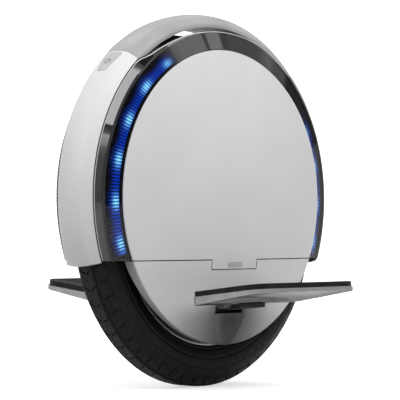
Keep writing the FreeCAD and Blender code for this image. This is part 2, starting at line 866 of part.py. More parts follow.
def tongue(gap):
    half = tongue_half + gap
    low = seam_z - tongue_drop - gap
    corners = [(-half, seam_z + overrun, 0), (half, seam_z + overrun, 0), (half, low, tongue_rounding),
               (-half, low, tongue_rounding)]
    return side_prism(corners, cover_rim_y, cover_rim_y + cover_bulge + overrun)


def make_upper_cover():
    """Left battery cover with its pull tongue."""
    outside, inside = cover_shell()
    shell = outside.cut(inside)
    cover = shell.common(above(seam_z + seam_gap / 2))
    return cover.fuse(shell.common(tongue(0))).removeSplitter()


def scoop(gap):
    """Hollow under the footrest: an upright cylinder with a round top."""
    radius = scoop_radius + gap
    reach = pivot_z - scoop_drop
    middle = at(0, cover_rim_y + scoop_radius, reach)
    column = Part.makeCylinder(radius, reach, middle - at(0, 0, reach))
    return column.fuse(Part.makeSphere(radius, middle))


def foot_trim():
    """Wedge that trims the lower cover's back edge, nothing under the seam and most at its foot."""
    side = cover_radius + overrun
    high, low = seam_z - tongue_drop, shell_z - cover_radius - overrun
    back = plate_out - overrun
    points = [at(-side, y, z) for y, z in (
        (back, high), (plate_out, high), (cover_rim_y - cover_foot_edge, low), (back, low), (back, high))]
    return Part.Face(Part.makePolygon(points)).extrude(at(side * 2, 0, 0))


def make_lower_cover():
    """Left lower cover, scooped under the footrest, with a slot for the bracket's foot."""
    outside, inside = cover_shell()
    cover = outside.cut(scoop(0)).cut(inside.cut(scoop(cover_wall)))
    cover = cover.cut(above(seam_z - seam_gap / 2)).cut([tongue(tongue_gap), foot_trim()])
    side = foot_half + slot_margin
    rise = hinge_nose_radius + slot_margin
    low, high = pivot_z - rise - stop_wall, pivot_z + rise
    return cover.cut(block(-side, side, plate_out, cover_rim_y + cover_bulge, low, high))


# Footrests, made level with the hinge pin at the origin of their section, then tilted
def pedal_plan(inset, low, high):
    """Footrest outline seen from above, from low to high over the hinge pin's height."""
    half = pedal_length / 2 - inset
    inner = pivot_to_pedal + inset
    outer = pivot_to_pedal + pedal_width - inset
    corners = [
        (-half, inner, pedal_inner_rounding),
        (half, inner, pedal_inner_rounding),
        (half, outer, pedal_outer_rounding),
        (-half, outer, pedal_outer_rounding),
    ]
    face = outline(corners, lambda x, y: at(x, pivot_y + y, pivot_z + low))
    return face.extrude(at(0, 0, high - low))


def tilted(shape):
    copy = shape.copy()
    copy.rotate(at(0, pivot_y, pivot_z), at(1, 0, 0), pedal_tilt)
    return copy


def make_pedal():
    """Aluminium footrest: a wedge, deep at the hinge, with a pocket underneath and two hinge ears."""
    top = pivot_below_top
    inner, outer = pivot_to_pedal, pivot_to_pedal + pedal_width
    root_low, edge_low = top - pedal_root, top - pedal_edge
    side = [
        at(0, pivot_y + inner, pivot_z + root_low),
        at(0, pivot_y + outer, pivot_z + edge_low),
        at(0, pivot_y + outer, pivot_z + top),
        at(0, pivot_y + inner, pivot_z + top),
    ]
    wedge = Part.Face(Part.makePolygon(side + side[:1]))
    wedge.translate(at(-pedal_length / 2, 0, 0))
    body = wedge.extrude(at(pedal_length, 0, 0)).common(pedal_plan(0, top - pedal_root - overrun, top))
    body = body.cut(make_pocket())
    low_x = foot_half + foot_gap
    arm_end = pivot_y + inner + pocket_wall
    ears = []
    for x in (low_x, -low_x - ear_width):
        nose = Part.makeCylinder(hinge_nose_radius, ear_width, at(x, pivot_y, pivot_z), at(1, 0, 0))
        arm = block(x, x + ear_width, pivot_y, arm_end, pivot_z + root_low, pivot_z + top)
        ears.append(nose.fuse(arm))
    bore = hinge_rod(hinge_pin_radius + running_clearance, low_x + ear_width + overrun)
    return tilted(body.fuse(ears).removeSplitter().cut(bore))


def hinge_rod(radius, half_length):
    """Round rod along the footrest's hinge line."""
    return Part.makeCylinder(radius, half_length * 2, at(-half_length, pivot_y, pivot_z), at(1, 0, 0))


def make_pocket():
    """Three-cornered pocket in the underside, open downwards, behind a slanting rib."""
    inner = pivot_to_pedal + pocket_wall + ear_width / 2
    outer = pivot_to_pedal + pedal_width - pedal_outer_rounding
    half = pedal_length / 2 - pocket_wall
    low = pivot_below_top - pedal_root - overrun
    corners = [
        (half, inner, pocket_wall),
        (half, outer, pocket_wall),
        (-half, inner, pocket_wall),
    ]
    roof = pivot_below_top - pocket_roof
    face = outline(corners, lambda x, y: at(x, pivot_y + y, pivot_z + low))
    return face.extrude(at(0, 0, roof - low))


def make_pad():
    """Rubber tread of the footrest with straight grooves along it."""
    low = pivot_below_top
    pad = pedal_plan(pad_inset, low, low + pad_wall)
    half = pedal_length / 2 - pedal_outer_rounding
    step = (pedal_width - pedal_outer_rounding) / (pad_groove_count - 1)
    first = pivot_y + pivot_to_pedal + pedal_outer_rounding / 2 - pad_groove_width / 2
    top = pivot_z + low + pad_wall
    grooves = []
    for index in range(pad_groove_count):
        y = first + index * step
        grooves.append(block(-half, half, y, y + pad_groove_width, top - pad_groove_depth, top + overrun))
    return tilted(pad.cut(grooves))


def make_bracket():
    """Left bracket: a plate gripping the axle's flats, with a foot out to the footrest's hinge."""
    top = axle_z + bracket_head_radius
    corners = [
        (-bracket_head_radius, top, bracket_head_radius),
        (bracket_head_radius, top, bracket_head_radius),
        (foot_half, pivot_z - hinge_nose_radius, 0),
        (-foot_half, pivot_z - hinge_nose_radius, 0),
    ]
    plate = side_prism(corners, plate_out, bracket_out)
    nose = hinge_rod(hinge_nose_radius, foot_half)
    low, high = pivot_z - hinge_nose_radius, pivot_z + hinge_nose_radius
    arm = block(-foot_half, foot_half, plate_out, pivot_y, low, high)
    stop = tilted(make_stop())
    bracket = plate.fuse([arm, nose, stop]).removeSplitter().cut(axle_grip_hole())
    bore = hinge_rod(hinge_pin_radius, foot_half + overrun)
    return bracket.cut([bore] + make_bracket_screws())


def make_stop():
    """Shelf under the footrest's inner edge that it rests on when it is down."""
    top = pivot_z + pivot_below_top - pedal_root - fit_gap
    return block(-foot_half, foot_half, pivot_y - hinge_nose_radius, pivot_y + pivot_to_pedal + stop_reach,
                 top - stop_wall, top)


def make_bracket_screws():
    """Screws that hold the left bracket to the side plate, two under the axle and two over the hinge."""
    length = bracket_wall + plate_wall
    room = bracket_screw_head_radius * 2
    step_x = bracket_head_radius - room
    screws = []
    for z in (axle_z - hub_hole_radius - room, pivot_z + hinge_nose_radius + room):
        for x in (-step_x, step_x):
            seat = at(x, bracket_out, z)
            shank = Part.makeCylinder(bracket_screw_radius, length, seat - across * length, across)
            head = Part.makeCylinder(bracket_screw_head_radius, bracket_screw_head_height, seat, across)
            screws.append(shank.fuse(head))
    return screws


def make_hinge_pin():
    return hinge_rod(hinge_pin_radius, foot_half + foot_gap + ear_width)


# Battery on the left, control board on the right
def battery_base():
    return axle_z + bracket_head_radius + battery_lift + cell_pitch / 2


def make_cells():
    """Round cells lying in rows above the axle, and standing ones on both sides of the bracket."""
    y = plate_out + cell_radius + fit_gap
    cells = []
    for row in range(cell_rows):
        z = battery_base() + row * cell_pitch
        for column in range(cell_columns):
            x = (column - cell_columns / 2) * (cell_length + cell_column_gap) + cell_column_gap / 2
            cells.append(Part.makeCylinder(cell_radius, cell_length, at(x, y, z), at(1, 0, 0)))
    top = battery_base() - cell_pitch / 2 - battery_lift
    for index in range(side_cell_count):
        x = bracket_head_radius + battery_lift + cell_radius + index * cell_pitch
        for side in (-1, 1):
            cells.append(Part.makeCylinder(cell_radius, cell_length, at(side * x, y, top - cell_length)))
    return cells


def make_battery_holder():
    """Comb plates between and beside the rows, standing on the side plate."""
    low = battery_base() - cell_pitch / 2
    high = low + cell_rows * cell_pitch
    plates = []
    for column in range(cell_columns + 1):
        x_low = (column - cell_columns / 2) * (cell_length + cell_column_gap) - holder_wall / 2
        plates.append(block(x_low, x_low + holder_wall, plate_out, plate_out + holder_depth, low, high))
    return plates


def make_battery_board():
    low = battery_base() + (cell_rows - 1) * cell_pitch + cell_radius + fit_gap
    return block(-bms_length / 2, bms_length / 2, plate_out, plate_out + bms_height, low, low + bms_wall)


def board_low():
    return axle_z + bracket_head_radius + battery_lift


def make_heat_sink():
    """Finned plate between the side plate and the power transistors, on the right side before mirroring."""
    low, high = board_low(), board_low() + board_height / 2
    half = board_length / 2
    fin_top = plate_out + fin_height
    base = block(-half, half, fin_top, fin_top + heat_sink_wall, low, high)
    fins = []
    for index in range(fin_count):
        x = -half + index * (board_length - fin_wall) / (fin_count - 1)
        fins.append(block(x, x + fin_wall, plate_out, fin_top, low, high))
    return base.fuse(fins).removeSplitter()


def board_seat():
    return plate_out + fin_height + heat_sink_wall + transistor_wall


def make_transistors():
    seat = plate_out + fin_height + heat_sink_wall
    pitch = board_length / transistor_count
    low = board_low() + board_height / 8
    high = low + transistor_height
    first = (pitch - board_length - transistor_width) / 2
    pieces = []
    for index in range(transistor_count):
        x = first + index * pitch
        pieces.append(block(x, x + transistor_width, seat, seat + transistor_wall, low, high))
    return pieces


def make_control_board():
    """Board over the power transistors, on two posts at its upper corners."""
    half = board_length / 2
    low, high = board_low(), board_low() + board_height
    board = block(-half, half, board_seat(), board_seat() + board_wall, low, high)
    posts = []
    for x in (-half, half - board_post):
        posts.append(block(x, x + board_post, plate_out, board_seat(), high - board_post, high))
    return board.fuse(posts)


def make_capacitors():
    y = board_seat() + board_wall + capacitor_radius
    pieces = []
    for index in range(capacitor_count):
        z = board_low() + board_height / 2 + (index - (capacitor_count - 1) / 2) * capacitor_pitch
        end = at(-capacitor_length / 2, y, z)
        pieces.append(Part.makeCylinder(capacitor_radius, capacitor_length, end, at(1, 0, 0)))
    return pieces


def make_buzzer():
    x = bracket_head_radius + battery_lift + buzzer_radius
    return Part.makeCylinder(buzzer_radius, buzzer_height, at(-x, plate_out, axle_z), across)


def make_parts():
    """Every node's name with its solids."""
    parts = {}
    rim = make_rim()
    parts["wheel_rim"] = [rim]
    parts["tyre"] = [make_tyre(rim)]
    parts["inner_tube"] = [make_inner_tube()]
    parts["valve_stem"] = [make_valve()]
    parts["valve_cap"] = [make_valve_cap()]
    parts["motor_back_iron"] = [make_back_iron()]
    parts["rotor_magnets"] = make_magnets()
    motor_cover = make_motor_cover()
    parts["motor_cover_left"] = [motor_cover]
    parts["motor_cover_right"] = [mirrored(motor_cover)]
    parts["motor_cover_screws"] = mirrored_pair(make_motor_screws())
    outer_race, balls, inner_race = make_bearing()
    parts["bearing_outer_races"] = mirrored_pair([outer_race])
    parts["bearing_balls"] = mirrored_pair(balls)
    parts["bearing_inner_races"] = mirrored_pair([inner_race])
    parts["axle"] = [make_axle()]
    parts["stator_core"] = [make_stator_core()]
    parts["stator_hub"] = [make_stator_hub()]
    parts["stator_windings"] = make_windings()
    parts["axle_washers"] = mirrored_pair([make_washer()])
    parts["axle_nuts"] = mirrored_pair([make_nut()])

    inner_shell = make_inner_shell()
    parts["inner_shell_left"] = [inner_shell]
    parts["inner_shell_right"] = [mirrored(inner_shell)]
    parts["handle"] = [make_handle()]
    parts["handle_screws"] = make_handle_screws()
    fender = make_fender()
    rear_fender = fender.mirror(at(0, 0, 0), at(1, 0, 0))
    parts["power_button"] = [make_button(fender)]
    parts["front_fender"] = [fender.cut(button_patch(fit_gap))]
    parts["charge_port_cover"] = [make_port_cover(rear_fender)]
    pin = port_pin(port_pin_radius, port_width / 2 + crown_wall)
    knuckle_room = port_pin(port_knuckle_radius + fit_gap * 2, port_width / 2 + fit_gap)
    parts["charge_cover_pin"] = [pin]
    parts["rear_fender"] = [rear_fender.cut([port_patch(fit_gap), knuckle_room, pin])]
    parts["button_switch"] = [make_switch()]
    parts["charge_socket"] = [make_charge_socket()]

    strip, lamps = make_led_strip()
    sided = {
        "light_lens": [make_lens()],
        "light_guide": [make_light_guide()],
        "light_housing": [make_light_housing()],
        "led_strip": [strip],
        "upper_cover": [make_upper_cover()],
        "lower_cover": [make_lower_cover()],
        "pedal_bracket": [make_bracket()],
        "pedal": [make_pedal()],
        "pedal_pad": [make_pad()],
    }
    for name, solids in sided.items():
        parts[name + "_left"] = solids
        parts[name + "_right"] = [mirrored(solid) for solid in solids]
    parts["led_chips"] = mirrored_pair(lamps)
    parts["bracket_screws"] = mirrored_pair(make_bracket_screws())
    parts["hinge_pins"] = mirrored_pair([make_hinge_pin()])

    parts["battery_cells"] = make_cells()
    parts["battery_holder"] = make_battery_holder()
    parts["battery_board"] = [make_battery_board()]
    parts["heat_sink"] = [mirrored(make_heat_sink())]
    parts["power_transistors"] = [mirrored(piece) for piece in make_transistors()]
    parts["control_board"] = [mirrored(make_control_board())]
    parts["capacitors"] = [mirrored(piece) for piece in make_capacitors()]
    parts["buzzer"] = [mirrored(make_buzzer())]
    return parts


def main():
    os.makedirs("parts", exist_ok=True)
    for name, solids in make_parts().items():
        shape = solids[0] if len(solids) == 1 else Part.makeCompound(solids)
        shape.exportStep("parts/" + name + ".step")
        state = "valid" if shape.isValid() else "NOT VALID"
        print(name, len(shape.Solids), state, round(shape.Volume / 1000, 2), "cm3")


main()
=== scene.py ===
# %% [markdown]
# # Electric unicycle
# One powered wheel stands inside a round shell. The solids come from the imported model, and this lesson
# dresses them: it gives every solid its finish and swaps a few plain ones for finer meshes. All lengths
# are metres in the model's own frame: +X forward, +Y the rider's left, +Z up from the ground.

# %% Load the frame
import json
import math

import bmesh
import bpy
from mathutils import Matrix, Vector


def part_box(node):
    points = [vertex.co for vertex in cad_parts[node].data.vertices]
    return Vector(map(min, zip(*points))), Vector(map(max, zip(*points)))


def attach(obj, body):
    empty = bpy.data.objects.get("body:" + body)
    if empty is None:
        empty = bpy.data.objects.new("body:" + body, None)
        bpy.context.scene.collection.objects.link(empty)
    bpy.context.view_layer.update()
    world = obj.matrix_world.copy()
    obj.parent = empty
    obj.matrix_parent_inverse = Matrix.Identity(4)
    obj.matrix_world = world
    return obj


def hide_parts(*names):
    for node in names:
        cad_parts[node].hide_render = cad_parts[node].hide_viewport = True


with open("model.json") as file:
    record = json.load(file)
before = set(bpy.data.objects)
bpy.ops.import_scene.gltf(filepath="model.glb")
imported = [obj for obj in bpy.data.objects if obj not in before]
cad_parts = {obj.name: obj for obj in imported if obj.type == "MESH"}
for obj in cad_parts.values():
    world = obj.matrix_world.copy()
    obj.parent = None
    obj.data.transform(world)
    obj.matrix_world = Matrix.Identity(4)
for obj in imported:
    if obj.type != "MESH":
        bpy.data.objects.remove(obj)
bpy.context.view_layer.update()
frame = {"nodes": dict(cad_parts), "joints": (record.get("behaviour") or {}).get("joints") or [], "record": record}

# %% [markdown]
# ## Camera
# The photograph was taken with a long lens from the front left, a little below the middle of the object.
# A camera could be turned with Euler angles, but aiming it with a track quaternion from eye to target
# keeps the two points, which are what was measured, in plain sight. The small shift moves the picture
# sideways the way a cropped photograph is moved, without turning the object.

# %% Place the camera
eye = Vector((1.933, 1.739, 0.192))
target = Vector((0.0, 0.0, 0.225))
camera_data = bpy.data.cameras.new("photo_camera")
camera_data.lens = 192.7
camera_data.sensor_width = 36.0
camera_data.shift_x = 0.0055
camera_data.shift_y = 0.0005
camera_data.clip_end = 50.0
camera = bpy.data.objects.new("photo_camera", camera_data)
camera.location = eye
camera.rotation_mode = "QUATERNION"
camera.rotation_quaternion = (target - eye).to_track_quat("-Z", "Y")
bpy.context.scene.collection.objects.link(camera)
bpy.context.scene.camera = camera
bpy.context.scene.view_settings.view_transform = "Standard"
print("camera distance:", round((target - eye).length, 3))

# %% [markdown]
# ## Node helper
# A procedural finish is a small graph of nodes. Building one in code gets long because each node is
# made, filled in and linked in three steps. This helper does all three: a plain value goes into the
# socket, and another node's output is linked to it, so each line below reads like one node in the
# editor.

# %% Define the node helper
def fill_socket(tree, socket, value):
    """Links another node's output to a socket, or sets a plain value on it."""
    if isinstance(value, bpy.types.NodeSocket):
        tree.links.new(value, socket)
    else:
        socket.default_value = value


def add_node(tree, kind, settings=None, output=0, **inputs):
    """Adds a node, sets its options and fills its inputs; returns one output, the first by default."""
    node = tree.nodes.new("ShaderNode" + kind)
    for option, value in (settings or {}).items():
        setattr(node, option, value)
    for name, value in inputs.items():
        place = int(name[2:]) if name.startswith("in") else name.replace("_", " ")
        fill_socket(tree, node.inputs[place], value)
    return node.outputs[output]


def calculate(tree, operation, first, second=0.0, third=0.0):
    """One Math node."""
    return add_node(tree, "Math", {"operation": operation}, in0=first, in1=second, in2=third)


def fade(tree, value, low, high, to_low=0.0, to_high=1.0):
    """Carries value smoothly from the range low..high to to_low..to_high."""
    settings = {"interpolation_type": "SMOOTHSTEP", "clamp": True}
    return add_node(tree, "MapRange", settings, Value=value, From_Min=low, From_Max=high, To_Min=to_low,
                    To_Max=to_high)


def blend_colours(tree, factor, first, second):
    """Colour that goes from first to second as factor goes from 0 to 1."""
    node = tree.nodes.new("ShaderNodeMix")
    node.data_type = "RGBA"
    for place, value in ((0, factor), (6, first), (7, second)):
        fill_socket(tree, node.inputs[place], value)
    return node.outputs[2]


def split(tree, vector):
    """The X, Y and Z of a vector, by name."""
    node = tree.nodes.new("ShaderNodeSeparateXYZ")
    tree.links.new(vector, node.inputs[0])
    return node.outputs


def start_finish(name):
    """New material with its node tree and its main shader."""
    material = bpy.data.materials.new(name)
    material.use_nodes = True
    return material, material.node_tree, material.node_tree.nodes["Principled BSDF"]


def place_on(tree):
    """Place on a piece in metres, in the model's frame."""
    return tree.nodes.new("ShaderNodeTexCoord").outputs["Object"]


print("node helpers ready")

# %% [markdown]
# ## Studio
# The photograph is a catalogue picture: white all round, soft light from above and from the front. The
# background could be lit until it burns out, but that would bleach the object too. Here the world shows
# plain white only to the camera and through clear surfaces. Mirror-like surfaces see a room with light
# panels and darker gaps, as in a real studio. To the left of the object the room is dim, apart from a
# few panels that put the bright streaks on the lens. The light that falls on the object is a soft grey,
# brighter overhead.

# %% Make the world
world = bpy.data.worlds.new("studio")
bpy.context.scene.world = world
world.use_nodes = True
sky = world.node_tree
ray = sky.nodes.new("ShaderNodeLightPath").outputs
towards = split(sky, sky.nodes.new("ShaderNodeTexCoord").outputs["Generated"])
light_from_below, light_from_above = 0.08, 0.75
soft_light = fade(sky, towards["Z"], -0.25, 0.8, light_from_below, light_from_above)
panel_pitch, panel_blur, gap_brightness = 40.0, 0.15, 0.2
dim_turns, dim_brightness = (70.0, 80.0), 0.15
room_turn = calculate(sky, "DEGREES", calculate(sky, "ARCTAN2", towards["X"], towards["Y"]))
panels = calculate(sky, "SINE", calculate(sky, "MULTIPLY", room_turn, math.radians(360.0) / panel_pitch))
panels = fade(sky, panels, -panel_blur, panel_blur, gap_brightness, 1.0)
dim_side = fade(sky, calculate(sky, "ABSOLUTE", room_turn), *dim_turns, dim_brightness, 1.0)
mirrored = calculate(sky, "MULTIPLY", panels, dim_side)


def between(value, low, high, blur):
    """1 from low to high and 0 outside, with soft ends."""
    rise = fade(sky, value, low - blur, low + blur)
    return calculate(sky, "MULTIPLY", rise, fade(sky, value, high - blur, high + blur, 1.0, 0.0))


turn_blur, height_blur = 0.6, 0.01
# Each panel: its turn from +Y towards +X in degrees, the sine of its elevation, and its brightness.
mirrored_panels = (
    ((-8.0, 45.0), (0.41, 0.50), 0.8),
    ((-8.0, 45.0), (0.57, 0.88), 1.0),
    ((-60.0, -8.0), (0.75, 0.90), 0.35),
    ((-57.5, -52.0), (0.30, 0.62), 1.0),
    ((-50.5, -36.0), (0.30, 0.62), 0.8),
)
for turns, heights, brightness in mirrored_panels:
    wide = between(room_turn, *turns, turn_blur)
    tall = between(towards["Z"], *heights, height_blur)
    panel = calculate(sky, "MULTIPLY", wide, tall)
    mirrored = calculate(sky, "MAXIMUM", mirrored, calculate(sky, "MULTIPLY", panel, brightness))
lit = add_node(sky, "Mix", in0=ray["Is Glossy Ray"], in2=soft_light, in3=mirrored)
seen = calculate(sky, "MAXIMUM", ray["Is Camera Ray"], ray["Is Transmission Ray"])
strength = add_node(sky, "Mix", in0=seen, in2=lit, in3=1.0)
backdrop = sky.nodes["Background"]
backdrop.inputs["Color"].default_value = (1.0, 1.0, 1.0, 1.0)
sky.links.new(strength, backdrop.inputs["Strength"])
print("world nodes:", len(sky.nodes))

# %% [markdown]
# ## Lamps
# Large area lamps act like the soft boxes of a studio. The key hangs above the left side and makes the
# cover brighter at its top than at its foot, and a small one closer above lifts the handle. One in front
# lights the fender, and two weaker ones keep the rear and the far side from going dull. Mirrors don't
# show the lamps: their streaks come from the panels of the room.

# %% Hang the lamps
def hang_lamp(name, place, aim, width, height, power):
    """Rectangular soft box at place, turned towards aim."""
    data = bpy.data.lights.new(name, "AREA")
    data.shape = "RECTANGLE"
    data.size = width
    data.size_y = height
    data.energy = power
    lamp = bpy.data.objects.new(name, data)
    lamp.location = place
    lamp.rotation_mode = "QUATERNION"
    lamp.rotation_quaternion = (Vector(aim) - Vector(place)).to_track_quat("-Z", "Y")
    lamp.visible_glossy = False
    bpy.context.scene.collection.objects.link(lamp)
    return lamp


middle = (0.0, 0.0, 0.25)
lamps = [
    hang_lamp("key_box", (0.3, 1.9, 2.2), middle, 1.6, 1.6, 33.0),
    hang_lamp("top_box", (0.5, 0.9, 1.7), (0.0, 0.0, 0.4), 0.8, 0.8, 5.5),
    hang_lamp("front_box", (2.4, -0.6, 1.2), middle, 1.2, 1.6, 21.0),
    hang_lamp("rear_box", (-1.6, 1.6, 1.2), middle, 1.0, 1.4, 9.0),
    hang_lamp("far_box", (-0.5, -2.0, 1.4), middle, 1.2, 1.4, 18.0),
]
print("lamps:", [lamp.name for lamp in lamps])

# %% [markdown]
# ## Floor
# The machine stands on a pale sheet that runs up behind it like paper on a roll. A flat floor would show
# a horizon, so the sheet is bent up in a wide arc. It is nearly white and glows where the camera sees
# it, also through clear surfaces, so that it meets the white background and still takes the tyre's soft
# shadow. Mirrors see a fifth of that glow, which keeps the smoked lens dark low down, and the sheet throws
# back little light, so that the undersides of the object stay dark.

# %% Roll out the floor
floor_front, floor_back, floor_half = 6.0, -5.0, 7.0
sweep_radius, sweep_steps = 2.5, 12
profile = [(floor_front, 0.0), (floor_back, 0.0)]
for step in range(1, sweep_steps + 1):
    turn = math.radians(90 * step / sweep_steps)
    profile.append((floor_back - sweep_radius * math.sin(turn), sweep_radius * (1 - math.cos(turn))))
profile.append((floor_back - sweep_radius, sweep_radius * 3))
floor_mesh = bpy.data.meshes.new("paper_floor")
sheet = bmesh.new()
away = (target - eye).xy.normalized()
aside = Vector((-away.y, away.x))
rows = []
for along, up in profile:
    spots = [away * -along + aside * side for side in (-floor_half, floor_half)]
    rows.append([sheet.verts.new((spot.x, spot.y, up)) for spot in spots])
for near, far in zip(rows, rows[1:]):
    sheet.faces.new((near[0], near[1], far[1], far[0])).smooth = True
sheet.to_mesh(floor_mesh)
sheet.free()
floor = bpy.data.objects.new("paper_floor", floor_mesh)
bpy.context.scene.collection.objects.link(floor)
print("floor rows:", len(rows))

# %% Finish the paper
thrown_back, mirrored_share = (0.16, 0.16, 0.16, 1.0), 0.2
paper, tree, shader = start_finish("studio_paper")
shader.inputs["Roughness"].default_value = 0.9
shader.inputs["Specular IOR Level"].default_value = 0.1
shader.inputs["Emission Color"].default_value = (1.0, 1.0, 1.0, 1.0)
fibre = add_node(tree, "TexNoise", Scale=14.0, Detail=4.0)
sheet_colour = blend_colours(tree, fibre, (0.86, 0.86, 0.86, 1.0), (0.9, 0.9, 0.9, 1.0))
ray = tree.nodes.new("ShaderNodeLightPath").outputs
sheet_colour = blend_colours(tree, ray["Is Diffuse Ray"], sheet_colour, thrown_back)
tree.links.new(sheet_colour, shader.inputs["Base Color"])
distance = add_node(tree, "VectorMath", {"operation": "LENGTH"}, "Value", in0=place_on(tree))
glow = fade(tree, distance, 0.2, 1.6, 0.55, 1.0)
seen = calculate(tree, "MAXIMUM", ray["Is Camera Ray"], ray["Is Transmission Ray"])
seen = calculate(tree, "MAXIMUM", seen, calculate(tree, "MULTIPLY", ray["Is Glossy Ray"], mirrored_share))
tree.links.new(calculate(tree, "MULTIPLY", glow, seen), shader.inputs["Emission Strength"])
floor_mesh.materials.append(paper)
print("paper nodes:", len(tree.nodes))

# %% [markdown]
# ## Ground for every finish
# A real surface is never one flat colour. Each finish below starts from the same few layers: wide
# patches that shift the colour a little, smaller patches that shift the gloss, and a fine grain that
# stands up as relief. Sizes are given in metres, as they would be measured on the part. A bevel node
# softens the look of the edges, because moulded and cast edges are always a little round. The same node
# also finds edges: where its rounded normal leans away from the face, an edge is near.

# %% Define the common layers
def cloud(tree, size, detail=3.0):
    """Noise from 0 to 1 with patches about size metres across."""
    return add_node(tree, "TexNoise", Vector=place_on(tree), Scale=1.0 / size, Detail=detail)


def shade_in_gaps(tree, reach):
    """1 deep in a gap or a corner, 0 on open faces, for painting shade there; looks as far as reach, in metres."""
    node = tree.nodes.new("ShaderNodeAmbientOcclusion")
    node.samples = 8
    node.inputs["Distance"].default_value = reach
    return fade(tree, node.outputs["AO"], 0.25, 0.8, 1.0, 0.0)


def along_edges(tree, reach):
    """High at a sharp edge, 0 further than about reach from it."""
    rounded = add_node(tree, "Bevel", {"samples": 4}, Radius=reach)
    face = tree.nodes.new("ShaderNodeNewGeometry").outputs["Normal"]
    lean = add_node(tree, "VectorMath", {"operation": "DOT_PRODUCT"}, "Value", in0=rounded, in1=face)
    return fade(tree, lean, 0.75, 0.97, 0.85, 0.0)


def from_axis(tree, centre_height):
    """Radius from an axis that lies across the part at this height, with the X and the rise that make it."""
    place = split(tree, place_on(tree))
    rise = calculate(tree, "SUBTRACT", place["Z"], centre_height)
    squares = [calculate(tree, "POWER", length, 2.0) for length in (place["X"], rise)]
    return calculate(tree, "SQRT", calculate(tree, "ADD", *squares)), place["X"], rise


def raise_grain(tree, shader, height, depth, edge=0.0005):
    """Relief of so many metres on edges that look rounded."""
    soft_edge = add_node(tree, "Bevel", {"samples": 4}, Radius=edge)
    grain = add_node(tree, "Bump", Height=height, Strength=1.0, Distance=depth, Normal=soft_edge)
    tree.links.new(grain, shader.inputs["Normal"])


def layered_finish(name, dark, light, patch, rough, grain, depth, metallic=0.0):
    """Finish with patchy colour, patchy gloss and fine grain; returns material, tree, shader and colour."""
    material, tree, shader = start_finish(name)
    patches = fade(tree, cloud(tree, patch), 0.3, 0.7)
    colour = blend_colours(tree, patches, (*dark, 1.0), (*light, 1.0))
    tree.links.new(colour, shader.inputs["Base Color"])
    gloss = fade(tree, cloud(tree, patch / 3), 0.3, 0.7, *rough)
    tree.links.new(gloss, shader.inputs["Roughness"])
    shader.inputs["Metallic"].default_value = metallic
    raise_grain(tree, shader, cloud(tree, grain, 2.0), depth)
    return material, tree, shader, colour


finishes = {}
print("common layers ready")

# %% [markdown]
# ## White shell
# The covers and fenders are moulded in white plastic with a satin skin. The mould leaves a very fine
# grain, which breaks up reflections. Low down the wheel throws road dust, so the colour greys slightly
# towards the ground, and the hollow under each footrest is painted nearly black as painted shade. An
# occlusion node paints shade into the gaps between parts, and a fine dark line along the edges is painted
# shade that draws the seams.

# %% Finish the white shell
# Where the painted shade under a footrest lies: half its width, and the heights over which it fades out.
footrest_shade_half_width, footrest_shade_low, footrest_shade_high = 0.085, 0.086, 0.112
dust_low, dust_high, shell_dust = 0.05, 0.17, 0.22
# How far the painted shade in gaps reaches, and how wide the painted shade along the seams is.
gap_shade_reach, seam_shade_width = 0.003, 0.0006


def shade_under_footrest(tree):
    """Mask for painted shade: 1 in the middle of the hollow under a footrest, fading to 0 around it."""
    place = split(tree, place_on(tree))
    aside = fade(tree, calculate(tree, "ABSOLUTE", place["X"]), 0.0, footrest_shade_half_width, 1.0, 0.0)
    below = fade(tree, place["Z"], footrest_shade_low, footrest_shade_high, 1.0, 0.0)
    return calculate(tree, "MULTIPLY", aside, below)


def finish_white_shell():
    material, tree, shader, colour = layered_finish(
        "white_shell", dark=(0.70, 0.70, 0.705), light=(0.73, 0.73, 0.735), patch=0.08,
        rough=(0.34, 0.44), grain=0.0006, depth=0.00002)
    height = split(tree, place_on(tree))["Z"]
    dust = fade(tree, height, dust_low, dust_high, shell_dust, 0.0)
    dust = calculate(tree, "MULTIPLY", dust, cloud(tree, 0.02))
    colour = blend_colours(tree, dust, colour, (0.36, 0.35, 0.33, 1.0))
    # Painted shade: the hollow under each footrest is darkened nearly to black.
    patchy = fade(tree, cloud(tree, 0.03), 0.2, 0.8, 0.9, 0.97)
    painted_shade = calculate(tree, "MULTIPLY", shade_under_footrest(tree), patchy)
    colour = blend_colours(tree, painted_shade, colour, (0.012, 0.012, 0.0125, 1.0))
    # Painted shade: darker deep in the gaps and corners between parts.
    colour = blend_colours(tree, shade_in_gaps(tree, gap_shade_reach), colour, (0.03, 0.03, 0.03, 1.0))
    # Painted shade: a dark line along the edges draws the shaded seams.
    colour = blend_colours(tree, along_edges(tree, seam_shade_width), colour, (0.05, 0.05, 0.05, 1.0))
    tree.links.new(colour, shader.inputs["Base Color"])
    return material


finishes["white_shell"] = finish_white_shell()
print("finished:", list(finishes))

# %% [markdown]
# ## Greys of the grip and the button
# The handle is painted silver: tiny flakes under a clear satin coat. The flakes could be single points,
# but at this distance a fine noise in the metal share gives the same sparkle. The button is plain grey
# plastic with patches polished by thumbs, and its edge is painted dark as painted shade of the gap of the
# fender it sinks into.

# %% Finish the grip and the button
button_gap_shade_width = 0.0005


def finish_silver_grip():
    material, tree, shader, _ = layered_finish(
        "silver_grip", dark=(0.41, 0.41, 0.415), light=(0.46, 0.46, 0.465), patch=0.03,
        rough=(0.30, 0.40), grain=0.0004, depth=0.00002)
    flakes = fade(tree, cloud(tree, 0.0009, 1.0), 0.45, 0.7, 0.1, 0.4)
    tree.links.new(flakes, shader.inputs["Metallic"])
    shader.inputs["Coat Weight"].default_value = 0.3
    shader.inputs["Coat Roughness"].default_value = 0.15
    return material


